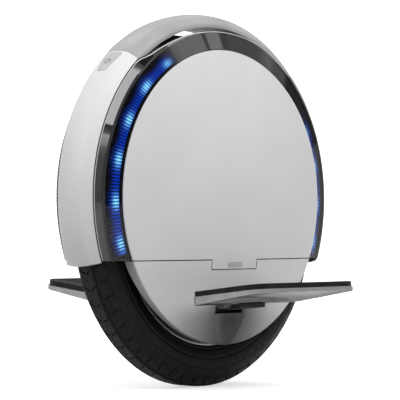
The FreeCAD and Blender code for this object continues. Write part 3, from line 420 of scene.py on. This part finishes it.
def finish_button_grey():
    material, tree, shader, colour = layered_finish(
        "button_grey", dark=(0.47, 0.47, 0.475), light=(0.53, 0.53, 0.535), patch=0.012,
        rough=(0.28, 0.42), grain=0.0005, depth=0.00002)
    # Painted shade: a dark line along the button's edges.
    colour = blend_colours(tree, along_edges(tree, button_gap_shade_width), colour, (0.12, 0.12, 0.122, 1.0))
    tree.links.new(colour, shader.inputs["Base Color"])
    return material


finishes["silver_grip"] = finish_silver_grip()
finishes["button_grey"] = finish_button_grey()
print("finished:", list(finishes))

# %% [markdown]
# ## Black plastics, rubber and tyre
# Black parts differ mostly by their gloss. Housings are moulded with a coarse grain, the tread of a
# footrest is dull and a little dusty, and tyre rubber is darker still with brown-grey dust caught in its
# grain. Pure black would hide the relief, so all of them are very dark greys.

# %% Finish the black pieces
def finish_rubber(name, dark, light, dust, dust_share):
    """Dull rubber with dust that gathers in its coarser grain."""
    material, tree, shader, colour = layered_finish(
        name, dark, light, patch=0.02, rough=(0.42, 0.6), grain=0.0007, depth=0.00006)
    caught = fade(tree, cloud(tree, 0.004, 5.0), 0.5, 0.75, 0.0, dust_share)
    tree.links.new(blend_colours(tree, caught, colour, (*dust, 1.0)), shader.inputs["Base Color"])
    shader.inputs["Specular IOR Level"].default_value = 0.15
    return material


finishes["black_moulding"] = layered_finish(
    "black_moulding", dark=(0.012, 0.012, 0.013), light=(0.02, 0.02, 0.021), patch=0.02,
    rough=(0.35, 0.5), grain=0.0008, depth=0.00004)[0]
finishes["soft_rubber"] = finish_rubber(
    "soft_rubber", dark=(0.008,) * 3, light=(0.013,) * 3, dust=(0.06, 0.058, 0.055), dust_share=0.2)
finishes["tyre_rubber"] = finish_rubber(
    "tyre_rubber", dark=(0.004,) * 3, light=(0.007,) * 3, dust=(0.03, 0.028, 0.026), dust_share=0.2)
print("finished:", list(finishes))

# %% [markdown]
# ## Metals
# Cast aluminium is blasted, which leaves small pits and an even dull sheen. Under the footrests and on
# their knuckles painted shade darkens it, and the distance from the hinge tells where. The wheel's rim is
# painted dark grey, partly as painted shade of its gap, and only its lip is turned bare; the lip's white
# line beside the tyre is partly a painted highlight. Steel is ground or plated and shows fine lines in
# one direction, made here by stretching the noise. Magnets are plated with nickel, coils are enamelled
# copper wire lying in strands, and the valve is plated brass.

# %% Find the footrests' hinge and the wheel's lip
hinge = next(joint for joint in frame["joints"] if joint["name"] == "left_pedal_fold")
_, hinge_out, hinge_height = hinge["pos_m"]
footrest_tilt = math.radians(6.7)
rim_low, rim_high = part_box("wheel_rim")
rim_radius = (rim_high.z - rim_low.z) / 2
rim_height = (rim_high.z + rim_low.z) / 2
# Width of the near-white line along the rim's lip, partly a painted highlight.
lip_highlight_width = 0.0016
print("hinge:", round(hinge_out, 4), round(hinge_height, 4), "rim radius:", round(rim_radius, 4))

# Where the painted shade on a footrest starts and ends: up from the hinge, outwards from it, and along the tread.
hollow_shade = (0.0015, 0.0018)
knuckle_shade, root_shade, inner_shade = (0.006, 0.016), (0.022, 0.034), (0.045, 0.096)
end_shade = (0.01, 0.09)


# %% Finish the metals
def finish_ground_metal(name, dark, light, rough, stretch):
    """Metal with fine lines: noise squeezed along one direction."""
    material, tree, shader, _ = layered_finish(
        name, dark, light, patch=0.015, rough=rough, grain=0.0005, depth=0.00001, metallic=1.0)
    lines = add_node(tree, "VectorMath", {"operation": "MULTIPLY"}, in0=place_on(tree), in1=stretch)
    lines = add_node(tree, "TexNoise", Vector=lines, Scale=1.0, Detail=2.0)
    raise_grain(tree, shader, lines, 0.00003)
    return material


def finish_casting():
    """Blasted casting; painted shade darkens a footrest's underside, its knuckle and all that lies further in."""
    material, tree, shader, colour = layered_finish(
        "cast_aluminium", dark=(0.36, 0.363, 0.366), light=(0.43, 0.433, 0.436), patch=0.025,
        rough=(0.42, 0.56), grain=0.0007, depth=0.00004, metallic=0.7)
    place = split(tree, place_on(tree))
    out = calculate(tree, "SUBTRACT", calculate(tree, "ABSOLUTE", place["Y"]), hinge_out)
    up = calculate(tree, "SUBTRACT", place["Z"], hinge_height)
    sunk = calculate(tree, "MULTIPLY", out, math.sin(footrest_tilt))
    over_pin = calculate(tree, "SUBTRACT", calculate(tree, "MULTIPLY", up, math.cos(footrest_tilt)), sunk)
    hollow = fade(tree, over_pin, *hollow_shade)
    root = fade(tree, out, *root_shade, 1.0, 0.0)
    inner_part = fade(tree, out, *inner_shade, 0.85, 0.15)
    end_part = fade(tree, calculate(tree, "ABSOLUTE", place["X"]), *end_shade, 0.0, 0.85)
    shaded_part = calculate(tree, "MAXIMUM", hollow, root)
    shaded_part = calculate(tree, "MAXIMUM", shaded_part, calculate(tree, "MAXIMUM", inner_part, end_part))
    # Painted shade: faces that look down near the hinge, and the knuckle itself, are darkened near black.
    facing = split(tree, tree.nodes.new("ShaderNodeTexCoord").outputs["Normal"])["Z"]
    underside = fade(tree, facing, -0.9, -0.6, 1.0, 0.0)
    underside = calculate(tree, "MULTIPLY", underside, fade(tree, out, 0.0, 0.004))
    knuckle = fade(tree, out, *knuckle_shade, 0.8, 0.0)
    painted_shade = calculate(tree, "MAXIMUM", calculate(tree, "MULTIPLY", underside, shaded_part), knuckle)
    colour = blend_colours(tree, painted_shade, colour, (0.03, 0.03, 0.031, 1.0))
    tree.links.new(colour, shader.inputs["Base Color"])
    return material


def finish_rim():
    """Dark grey paint, partly painted shade of its gap, turned bare along the lip, whose near-white is partly a
    painted highlight.
    """
    material, tree, shader, colour = layered_finish(
        "painted_rim", dark=(0.10, 0.10, 0.102), light=(0.13, 0.13, 0.132), patch=0.02,
        rough=(0.35, 0.5), grain=0.0005, depth=0.00002, metallic=0.2)
    radius, _, _ = from_axis(tree, rim_height)
    lip_highlight = fade(tree, radius, rim_radius - 2 * lip_highlight_width, rim_radius - lip_highlight_width)
    colour = blend_colours(tree, lip_highlight, colour, (0.92, 0.92, 0.92, 1.0))
    tree.links.new(colour, shader.inputs["Base Color"])
    return material


def finish_winding():
    """Wire strands: narrow bands with the enamel's gloss."""
    material, tree, shader, _ = layered_finish(
        "copper_winding", dark=(0.45, 0.17, 0.06), light=(0.60, 0.27, 0.12), patch=0.006,
        rough=(0.25, 0.4), grain=0.0005, depth=0.00001, metallic=1.0)
    strands = add_node(tree, "TexWave", Vector=place_on(tree), Scale=180.0, Distortion=1.5, Detail=2.0)
    raise_grain(tree, shader, strands, 0.0003)
    return material


finishes["cast_aluminium"] = finish_casting()
finishes["painted_rim"] = finish_rim()
# Dark grey casting for the hinge brackets: partly their own dark grey, partly painted shade for the shadow under
# the footrests.
finishes["dark_casting"] = layered_finish(
    "dark_casting", dark=(0.02, 0.02, 0.021), light=(0.03, 0.03, 0.031), patch=0.015,
    rough=(0.4, 0.6), grain=0.0008, depth=0.00005, metallic=0.3)[0]
finishes["bright_steel"] = finish_ground_metal(
    "bright_steel", dark=(0.50, 0.50, 0.49), light=(0.60, 0.60, 0.59), rough=(0.22, 0.4),
    stretch=(4000.0, 150.0, 4000.0))
finishes["nickel_magnet"] = finish_ground_metal(
    "nickel_magnet", dark=(0.58, 0.56, 0.51), light=(0.68, 0.66, 0.61), rough=(0.18, 0.32),
    stretch=(900.0, 200.0, 900.0))
finishes["brass_valve"] = finish_ground_metal(
    "brass_valve", dark=(0.55, 0.47, 0.30), light=(0.66, 0.58, 0.40), rough=(0.2, 0.35),
    stretch=(600.0, 3000.0, 600.0))
finishes["copper_winding"] = finish_winding()
print("finished:", list(finishes))

# %% [markdown]
# ## Electronics
# The boards are glass fibre under a green lacquer, with copper tracks that show as slightly raised
# lighter lines; a brick pattern of thin joints stands in for them. The battery cells wear shrink
# sleeves, which are glossy, slightly wrinkled and of one colour apart from handling marks.

# %% Finish the electronics
def finish_board():
    material, tree, shader, colour = layered_finish(
        "circuit_board", dark=(0.015, 0.085, 0.04), light=(0.02, 0.11, 0.05), patch=0.01,
        rough=(0.25, 0.4), grain=0.0006, depth=0.00002)
    tracks = add_node(tree, "TexBrick", None, "Fac", Vector=place_on(tree), Scale=60.0, Mortar_Size=0.03)
    colour = blend_colours(tree, tracks, colour, (0.05, 0.2, 0.08, 1.0))
    tree.links.new(colour, shader.inputs["Base Color"])
    raise_grain(tree, shader, tracks, 0.00008)
    return material


finishes["circuit_board"] = finish_board()
finishes["cell_sleeve"] = layered_finish(
    "cell_sleeve", dark=(0.02, 0.09, 0.22), light=(0.03, 0.12, 0.28), patch=0.01,
    rough=(0.2, 0.4), grain=0.003, depth=0.00006)[0]
print("finished:", list(finishes))

# %% [markdown]
# ## Light ring
# Behind a smoked lens sits a ribbed ring of clear plastic that lamps light in blue. The lamps could be
# real light sources, but small bright points behind glass make a noisy picture. Instead the ribbed ring
# itself glows: brightest over each lamp, deep blue between two lamps, dark at the top where there is
# none. The lens is clear smoke over the ring and dense along its outer facet, and a thin silvering near
# the top makes it mirror the room. The finishes work out the angle and the radius around the shell's
# centre, so that all this stays with the part.

# %% Find places around the ring
shell_height = 0.228


def around_ring(tree):
    """Radius from the shell's centre and angle in degrees from straight up, as two outputs."""
    radius, along, rise = from_axis(tree, shell_height)
    angle = calculate(tree, "ARCTAN2", calculate(tree, "ABSOLUTE", along), rise)
    return radius, calculate(tree, "DEGREES", angle)


print("shell centre at", shell_height)

# %% Finish the light guides
# Angles are degrees from straight up, lengths are metres from the row of lamps outwards.
lamp_first, lamp_pitch, lamp_row = 31.0, 15.3, 0.1835
glow_between_lamps, glow_more_at_lamps, core_reach = 0.0085, 0.0045, 0.0085
lit_from_behind, lit_from_in_front, lit_blur = 58.0, 26.0, (-4.0, 8.0)
glow_behind = 0.7
rib_pitch = 1.2


def finish_guide():
    """Blue glow with a hot spot over every lamp and a fine flicker along the ribs."""
    material, tree, shader, _ = layered_finish(
        "light_blue_guide", dark=(0.006, 0.007, 0.012), light=(0.008, 0.010, 0.02), patch=0.01,
        rough=(0.4, 0.5), grain=0.0008, depth=0.00002)
    radius, angle = around_ring(tree)
    step = calculate(tree, "DIVIDE", calculate(tree, "SUBTRACT", angle, lamp_first), lamp_pitch)
    off_lamp = calculate(tree, "ABSOLUTE", calculate(tree, "SUBTRACT", step, calculate(tree, "ROUND", step)))
    near_lamp = fade(tree, off_lamp, 0.0, 0.5, 1.0, 0.0)
    outward = calculate(tree, "SUBTRACT", radius, lamp_row)
    glow_end = calculate(tree, "MULTIPLY_ADD", near_lamp, glow_more_at_lamps, glow_between_lamps)
    near_row = fade(tree, outward, 0.0, glow_end, 1.0, 0.0)
    near_core = fade(tree, calculate(tree, "ABSOLUTE", outward), 0.0, core_reach, 1.0, 0.0)
    ahead = fade(tree, split(tree, place_on(tree))["X"], -0.05, 0.05)
    lit_from = calculate(tree, "MULTIPLY_ADD", ahead, lit_from_in_front - lit_from_behind, lit_from_behind)
    lit = fade(tree, calculate(tree, "SUBTRACT", angle, lit_from), *lit_blur)
    share = calculate(tree, "MULTIPLY_ADD", ahead, 1.0 - glow_behind, glow_behind)
    lit = calculate(tree, "MULTIPLY", calculate(tree, "MULTIPLY", lit, share), near_row)
    hot = calculate(tree, "MULTIPLY", calculate(tree, "POWER", near_lamp, 2.8), lit)
    hot = calculate(tree, "MULTIPLY", hot, near_core)
    ribs = calculate(tree, "SINE", calculate(tree, "MULTIPLY", angle, math.radians(360.0) / rib_pitch))
    ribs = fade(tree, ribs, -1.0, 1.0, 0.15, 1.0)
    colour = blend_colours(tree, hot, (0.0, 0.045, 0.55, 1.0), (0.18, 0.56, 1.0, 1.0))
    tree.links.new(colour, shader.inputs["Emission Color"])
    strength = calculate(tree, "MULTIPLY_ADD", lit, 2.4, calculate(tree, "MULTIPLY", hot, 3.0))
    strength = calculate(tree, "MULTIPLY", strength, ribs)
    tree.links.new(strength, shader.inputs["Emission Strength"])
    shader.inputs["Specular IOR Level"].default_value = 0.15
    return material


finishes["light_blue_guide"] = finish_guide()
print("finished:", list(finishes))

# %% Finish the lenses and the lamps
facet_edge = (0.1975, 0.1995)
# Where the dense crown and the silvering fade out, in degrees from straight up.
crown_end, silver_end = (22.0, 36.0), (66.0, 78.0)


def finish_lens():
    """Smoked clear plastic: a dense facet outside, dense and bright at the top, clear over the lamps."""
    material, tree, shader, _ = layered_finish(
        "smoked_lens", dark=(0.085, 0.088, 0.09), light=(0.10, 0.103, 0.105), patch=0.03,
        rough=(0.015, 0.04), grain=0.02, depth=0.000001)
    radius, angle = around_ring(tree)
    facet = fade(tree, radius, *facet_edge)
    crown = fade(tree, angle, *crown_end, 1.0, 0.0)
    silvered = calculate(tree, "MULTIPLY", facet, fade(tree, angle, *silver_end, 1.0, 0.0))
    smoke = blend_colours(tree, crown, (0.004, 0.004, 0.005, 1.0), (0.14, 0.14, 0.143, 1.0))
    colour = blend_colours(tree, facet, smoke, (0.055, 0.057, 0.059, 1.0))
    colour = blend_colours(tree, silvered, colour, (0.42, 0.42, 0.425, 1.0))
    tree.links.new(colour, shader.inputs["Base Color"])
    crown_shine = calculate(tree, "MULTIPLY", crown, 0.7)
    tree.links.new(calculate(tree, "MAXIMUM", silvered, crown_shine), shader.inputs["Metallic"])
    cover = calculate(tree, "MAXIMUM", facet, fade(tree, crown, 0.0, 1.0, 0.42, 0.92))
    tree.links.new(cover, shader.inputs["Alpha"])
    shader.inputs["Specular IOR Level"].default_value = 0.5
    return material


def finish_lamp():
    """Lamp chip: pale resin that glows, a little brighter where the resin is thick."""
    material, tree, shader, _ = layered_finish(
        "lamp_chip", dark=(0.55, 0.60, 0.70), light=(0.65, 0.70, 0.80), patch=0.002,
        rough=(0.1, 0.2), grain=0.0008, depth=0.00002)
    shader.inputs["Emission Color"].default_value = (0.35, 0.7, 1.0, 1.0)
    tree.links.new(fade(tree, cloud(tree, 0.002), 0.3, 0.7, 0.6, 1.0), shader.inputs["Emission Strength"])
    return material


finishes["smoked_lens"] = finish_lens()
finishes["lamp_chip"] = finish_lamp()
print("finished:", list(finishes))

# %% [markdown]
# ## Put the finishes on
# The record says which finish each solid takes. The loop replaces the plain material that came with the
# model by the one made above, so a finish is changed in one place for all its pieces. Two pieces differ
# from the record: the hinge pins take the dark grey of the brackets that hold them, painted shade for the
# shadow under the footrests, and the wheel's rim is cast as the motor covers are, but painted.

# %% Dress the solids
slot_of = {part["node"]: part["material_slot"] for part in frame["record"]["subparts"]}
# Painted shade: the hinge pins take the dark casting because they sit in the footrests' shadow.
slot_of["hinge_pins"] = "dark_casting"
slot_of["wheel_rim"] = "painted_rim"
for name, node in frame["nodes"].items():
    node.data.materials.clear()
    node.data.materials.append(finishes[slot_of[name]])
print("dressed:", len(slot_of), "solids in", len(finishes), "finishes")

# %% [markdown]
# ## Tyre
# The solid tyre has the right section but a bare tread. This mesh turns the same section around the axle
# and adds the tread: grooves that run round, slanting cuts between them, and cuts shaped like an L
# between the blocks at the shoulders. The side walls get shallow round grooves. The cuts could be carved
# with booleans, but it is cleaner to let the mesh lines follow them: a column of points runs over the
# whole section and leans with the distance from the middle, so a slanting cut is simply a set of columns
# that lie deeper.

# %% Work out the tyre's section
tyre_low, tyre_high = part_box("tyre")
tyre_radius = (tyre_high.z - tyre_low.z) / 2
axle_height = (tyre_high.z + tyre_low.z) / 2
tyre_half = tyre_high.y
bead_radius, bead_half, tread_half = 0.147, 0.018, 0.009
widest_radius = (tyre_radius + bead_radius) / 2
wall, bead_wall = 0.006, 0.007


def side_arc(end_radius, end_half, steps):
    """Points (radius, y) of an arc from the widest place, upright there, to the given end."""
    rise = end_radius - widest_radius
    inset = tyre_half - end_half
    bend = (rise ** 2 + inset ** 2) / (2 * inset)
    full = math.atan2(rise, bend - inset)
    turns = [full * step / steps for step in range(steps + 1)]
    return [(widest_radius + bend * math.sin(t), tyre_half - bend + bend * math.cos(t)) for t in turns]


flat_steps, shoulder_steps, wall_steps, cavity_steps = 12, 44, 40, 8
outer_half = [(tyre_radius, tread_half * step / flat_steps) for step in range(flat_steps)]
outer_half += side_arc(tyre_radius, tread_half, shoulder_steps)[::-1]
outer_half += side_arc(bead_radius, bead_half, wall_steps)[1:]
cavity = tyre_half - wall
cavity_start, cavity_sweep = -60, 150
inner_half = [(bead_radius, bead_half - bead_wall)]
for step in range(cavity_steps + 1):
    turn = math.radians(cavity_start + cavity_sweep * step / cavity_steps)
    inner_half.append((widest_radius + cavity * math.sin(turn), cavity * math.cos(turn)))
print("tyre radius:", round(tyre_radius, 4), "section points:", 2 * (len(outer_half) + len(inner_half)))

# %% Shape the tread
pitch_count = 60
column_shares = (0.0, 0.05, 0.11, 0.16, 0.42, 0.7)
cut_columns, foot_columns = (1, 2), (1, 2, 3, 4)
slant_share = 0.6
# Each groove or cut of the tread: from and to this distance from the middle, and its depth.
round_groove = (0.0108, 0.0132, 0.002)
shoulder_groove = (0.0243, 0.0251, 0.0009)
centre_cut = (0.0015, 0.0095, 0.0013)
block_cut = (0.0145, 0.0222, 0.0018)
foot_cut = (0.0203, 0.0222, 0.0014)
# Each groove of the side wall: its radius, half its width and its depth.
wall_grooves = ((0.1570, 0.0014, 0.0008), (0.1675, 0.0018, 0.0009), (0.1800, 0.0012, 0.0007))


def within(value, low, high):
    return low <= value <= high


def tread_depth(radius, y, column):
    """How deep the tread lies under the smooth section at a point."""
    if radius < widest_radius:
        return 0.0
    for low, high, depth in (round_groove, shoulder_groove):
        if within(abs(y), low, high):
            return depth
    if column in cut_columns:
        for low, high, depth in (centre_cut, block_cut):
            if within(abs(y), low, high):
                return depth
    low, high, depth = foot_cut
    return depth if column in foot_columns and within(abs(y), low, high) else 0.0


def wall_depth(radius, y):
    """How deep a round groove lies in the side wall at a point of the outside."""
    if abs(y) <= cavity:
        return 0.0
    for middle_radius, half, depth in wall_grooves:
        share = abs(radius - middle_radius) / half
        if share < 1.0:
            return depth * (1.0 + math.cos(math.pi * share)) / 2
    return 0.0


print("blocks on a shoulder:", pitch_count)


# %% Turn the section into a tyre
def close_mesh(shape, name):
    """Turns a finished shape into a mesh with its faces outwards."""
    bmesh.ops.recalc_face_normals(shape, faces=shape.faces)
    mesh = bpy.data.meshes.new(name)
    shape.to_mesh(mesh)
    shape.free()
    return mesh


def make_tyre():
    """Closed mesh of the tyre; each ring of points is one section, and the sections follow round the axle."""
    on_middle = 0.0001
    other_half = [(radius, -y) for radius, y in outer_half[:0:-1]]
    section = other_half + outer_half + inner_half
    section += [(radius, -y) for radius, y in inner_half[::-1] if y > on_middle]
    skin = bmesh.new()
    columns = []
    for pitch in range(pitch_count):
        for column, share in enumerate(column_shares):
            turn = 2 * math.pi * (pitch + share) / pitch_count
            ring = []
            for radius, y in section:
                deep = radius - tread_depth(radius, y, column)
                lean = turn - slant_share * abs(y) / tyre_radius
                out = y - math.copysign(wall_depth(radius, y), y)
                place = (deep * math.sin(lean), out, axle_height + deep * math.cos(lean))
                ring.append(skin.verts.new(place))
            columns.append(ring)
    for ring, following in zip(columns, columns[1:] + columns[:1]):
        for index in range(len(section)):
            after = (index + 1) % len(section)
            skin.faces.new((ring[index], ring[after], following[after], following[index])).smooth = True
    mesh = close_mesh(skin, "tyre_tread")
    mesh.set_sharp_from_angle(angle=sharp_from)
    return mesh


def add_piece(name, mesh, slot, body):
    """Shows a mesh as a piece that takes its finish from a slot and moves with a body."""
    mesh.materials.append(finishes[slot])
    piece = bpy.data.objects.new(name, mesh)
    bpy.context.scene.collection.objects.link(piece)
    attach(piece, body)
    return piece


sharp_from = math.radians(32)
tyre = add_piece("tyre_tread", make_tyre(), "tyre_rubber", "wheel")
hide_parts("tyre")
print("tyre faces:", len(tyre.data.polygons))

# %% [markdown]
# ## Ribbed light guides
# Fine ribs run across the clear ring and break each lamp into short bright lines. The plain solid shows
# where the ring lies, so the mesh takes its radii and heights from that solid and only folds the face
# outwards and inwards along the ring, one fold out and one in for each rib of the glow. A texture of
# lines could fake it, but real folds also catch the studio light where the lamps are off.

# %% Fold the light guides
rib_depth, same_edge = 0.0006, 0.0004


def measure_guide(node):
    """Corners (radius, y) of a light guide's section: outer front, inner front, inner back, outer back."""
    points = [vertex.co for vertex in frame["nodes"][node].data.vertices]
    section = [(math.hypot(point.x, point.z - shell_height), abs(point.y)) for point in points]
    inner_radius = min(radius for radius, _ in section)
    outer_radius = max(radius for radius, _ in section)
    inner = [y for radius, y in section if radius < inner_radius + same_edge]
    outer = [y for radius, y in section if radius > outer_radius - same_edge]
    corners = [(outer_radius, max(outer)), (inner_radius, max(inner))]
    return corners + [(inner_radius, min(inner)), (outer_radius, min(outer))]


def guide_reach(node):
    """Angle from straight up, in radians, at which the guide's middle line ends."""
    low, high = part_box(node)
    return math.acos((low.z - shell_height) / high.x)


def make_guide(name, side):
    """Ring from one end to the other with folds across its front."""
    node = "light_guide_" + name
    outer_front, inner_front, inner_back, outer_back = measure_guide(node)
    half_ribs = round(math.degrees(guide_reach(node)) / rib_pitch - 1.0)
    reach = math.radians(half_ribs * rib_pitch)
    folds = 4 * half_ribs
    band = bmesh.new()
    columns = []
    for fold in range(folds + 1):
        turn = reach * (2 * fold / folds - 1)
        drop = rib_depth if fold % 2 else 0.0
        ring = []
        for radius, y in (outer_front, inner_front, inner_back, outer_back):
            y -= drop if (radius, y) in (outer_front, inner_front) else 0.0
            place = (radius * math.sin(turn), side * y, shell_height + radius * math.cos(turn))
            ring.append(band.verts.new(place))
        columns.append(ring)
    for ring, following in zip(columns, columns[1:]):
        for index in range(len(ring)):
            after = (index + 1) % len(ring)
            band.faces.new((ring[index], ring[after], following[after], following[index]))
    band.faces.new(columns[0])
    band.faces.new(columns[-1][::-1])
    return close_mesh(band, "ribbed_guide_" + name)


for name, side in (("left", 1), ("right", -1)):
    guide = add_piece("ribbed_guide_" + name, make_guide(name, side), "light_blue_guide", "chassis")
    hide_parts("light_guide_" + name)
    print(guide.name, "faces:", len(guide.data.polygons))

# %% [markdown]
# ## Rims and beads around the lenses
# The edge of each lens is turned over into a thin round rim, which shows as a bright line beside the
# black seal against the fender. A notched black bead runs along the bend of each lens in front, and on
# the far lens it shows at the outline as a fine dark row of teeth. A bevel on the solids would shade the
# edges, but only a true round catches a line of light from every side, so small round sections are swept
# along them. The rim leaves the circle under the handle, so its path is found on the lens itself: at
# each angle rays are dropped from further and further in until one lands on the lens.

# %% Define the sweep
from mathutils.bvhtree import BVHTree

bar_sides = 8


def surface_of(node):
    """Search tree of a solid's faces, for finding points on it."""
    mesh = frame["nodes"][node].data
    return BVHTree.FromPolygons([v.co for v in mesh.vertices], [p.vertices for p in mesh.polygons])


def sweep_bar(sweep, path, thick, notch):
    """Adds a round bar along a path of (turn, radius, y); every other section is thinner by notch."""
    columns = []
    for step, (turn, ring_radius, out) in enumerate(path):
        reach = thick - notch * (step % 2)
        ring = []
        for corner in range(bar_sides):
            around = 2 * math.pi * corner / bar_sides
            radius = ring_radius + reach * math.cos(around)
            y = out + reach * math.sin(around)
            place = (radius * math.sin(turn), y, shell_height + radius * math.cos(turn))
            ring.append(sweep.verts.new(place))
        columns.append(ring)
    for ring, following in zip(columns, columns[1:]):
        for corner in range(bar_sides):
            after = (corner + 1) % bar_sides
            face = sweep.faces.new((ring[corner], ring[after], following[after], following[corner]))
            face.smooth = True
    sweep.faces.new(columns[0])
    sweep.faces.new(columns[-1][::-1])


def add_bars(name, paths, thick, notch, slot):
    """Piece of round bars along several paths."""
    sweep = bmesh.new()
    for path in paths:
        sweep_bar(sweep, path, thick, notch)
    return add_piece(name, close_mesh(sweep, name), slot, "chassis")


def arc_turns(start, end, step):
    """Angles in radians from start to end, in degrees, about step apart."""
    count = round((end - start) / step)
    return [math.radians(start + (end - start) * index / count) for index in range(count + 1)]


def ring_paths(radius, out, turns, ends):
    """The same arc on both sides: in front for an end of 1, behind for -1."""
    return [[(end * turn, radius, side * out) for turn in turns] for side in (1, -1) for end in ends]


print("sweep ready")

# %% Sweep the rims and the beads
rim_end, rim_thick, rim_search, rim_step, beside = 110.8, 0.0006, 0.2100, 0.0001, 0.2
seal_ring, seal_out, seal_thick, seal_start = 0.2090, 0.0287, 0.0006, 42.5
bend_ring, bend_out, bead_thick, bead_notch = 0.2009, 0.0374, 0.0016, 0.0005
bead_start, bead_end, bead_step = 46.0, 111.5, 0.6
arc_step = 1.0


def rim_path(name, side):
    """Outermost line of a lens, as (turn, radius, y)."""
    surface = surface_of("light_lens_" + name)
    inwards = Vector((0.0, -side, 0.0))
    path = []
    for turn in arc_turns(-rim_end, rim_end, arc_step):
        radius, foot = rim_search, None
        while foot is None:
            radius -= rim_step
            start = Vector((radius * math.sin(turn), side * beside, shell_height + radius * math.cos(turn)))
            foot = surface.ray_cast(start, inwards)[0]
        path.append((turn, radius - rim_thick, foot.y + side * rim_thick))
    return path


rims = add_bars("lens_rims", [rim_path("left", 1), rim_path("right", -1)], rim_thick, 0.0, "white_shell")
seal_paths = ring_paths(seal_ring, seal_out, arc_turns(seal_start, rim_end, arc_step), (1, -1))
seals = add_bars("lens_seals", seal_paths, seal_thick, 0.0, "black_moulding")
bead_paths = ring_paths(bend_ring, bend_out, arc_turns(bead_start, bead_end, bead_step), (1,))
beads = add_bars("lens_beads", bead_paths, bead_thick, bead_notch, "black_moulding")
print("faces:", {piece.name: len(piece.data.polygons) for piece in (rims, seals, beads)})

# %% [markdown]
# ## Marks that lie on a surface
# The button carries the usual mark for power, an open ring with a bar, and the pull tongue of the
# battery cover has a few ribs for the fingertip. Both lie on curved faces. A decal could be projected as
# a picture, but a thin raised strip that is dropped on to the surface needs no picture and catches light
# as moulding does.

# %% Define the strip that lies on a surface
def lay_strip(mesh, surface, lines, start, direction, lift):
    """Raised strip between two lines of points that are dropped on to a surface along direction."""
    rails = []
    for line in lines:
        feet = [surface.ray_cast(start(*point), direction)[0] for point in line]
        tops = [mesh.verts.new(foot - direction * lift) for foot in feet]
        roots = [mesh.verts.new(foot + direction * lift) for foot in feet]
        rails.append((tops, roots))
    (left, left_root), (right, right_root) = rails
    loops = [left, right, right_root, left_root]
    for first, second in zip(loops, loops[1:] + loops[:1]):
        for index in range(len(first) - 1):
            mesh.faces.new((first[index], first[index + 1], second[index + 1], second[index]))
    for end in (0, -1):
        mesh.faces.new([loop[end] for loop in loops])


print("strip helper ready")

# %% Mark the power button
button_low, button_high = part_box("power_button")
button_middle = (button_low + button_high) / 2
press = Vector((-1.0, 0.0, -1.0)).normalized()
across = Vector((0.0, 1.0, 0.0))
uphill = press.cross(across)
mark_radius, mark_line, mark_gap, mark_steps = 0.0042, 0.0009, math.radians(38), 28
mark_lift, clear_of_button = 0.00012, 0.05


def above_button(right, up):
    return button_middle - press * clear_of_button + across * right + uphill * up


def make_power_mark():
    """Open ring with its gap uphill, and a bar that stands in the gap."""
    strips = bmesh.new()
    surface = surface_of("power_button")
    drawn = 2 * math.pi - 2 * mark_gap
    turns = [mark_gap + drawn * step / mark_steps for step in range(mark_steps + 1)]
    radii = (mark_radius, mark_radius - mark_line)
    rings = [[(radius * math.sin(turn), radius * math.cos(turn)) for turn in turns] for radius in radii]
    lay_strip(strips, surface, rings, above_button, press, mark_lift)
    bar = [[(side * mark_line / 2, share * mark_radius) for share in (0.3, 0.7, 1.1)] for side in (-1, 1)]
    lay_strip(strips, surface, bar, above_button, press, mark_lift)
    return close_mesh(strips, "power_mark")


mark = add_piece("power_mark", make_power_mark(), "black_moulding", "power_button")
print(mark.name, "at", [round(v, 3) for v in button_middle])

# %% Rib the pull tongues
tongue_height, tongue_rib_count, tongue_rib_half, tongue_rib_pitch = 0.1475, 4, 0.013, 0.0016
tongue_rib_lift = 0.0002


def make_tongue_ribs(name, side):
    """Short level ribs on the tongue at the foot of a battery cover."""
    strips = bmesh.new()
    surface = surface_of("upper_cover_" + name)
    inwards = Vector((0.0, -side, 0.0))

    def beside_cover(x, z):
        return Vector((x, side * beside, z))

    for index in range(tongue_rib_count):
        height = tongue_height + (index - (tongue_rib_count - 1) / 2) * tongue_rib_pitch
        edges = [height - tongue_rib_pitch / 4, height + tongue_rib_pitch / 4]
        lines = [[(tongue_rib_half * share, edge) for share in (-1.0, -0.5, 0.0, 0.5, 1.0)] for edge in edges]
        lay_strip(strips, surface, lines, beside_cover, inwards, tongue_rib_lift)
    return close_mesh(strips, "tongue_ribs_" + name)


for name, side in (("left", 1), ("right", -1)):
    # The ribs take the button's grey, whose painted shade darkens their edges.
    ribs = add_piece("tongue_ribs_" + name, make_tongue_ribs(name, side), "button_grey", "chassis")
    print(ribs.name, "faces:", len(ribs.data.polygons))
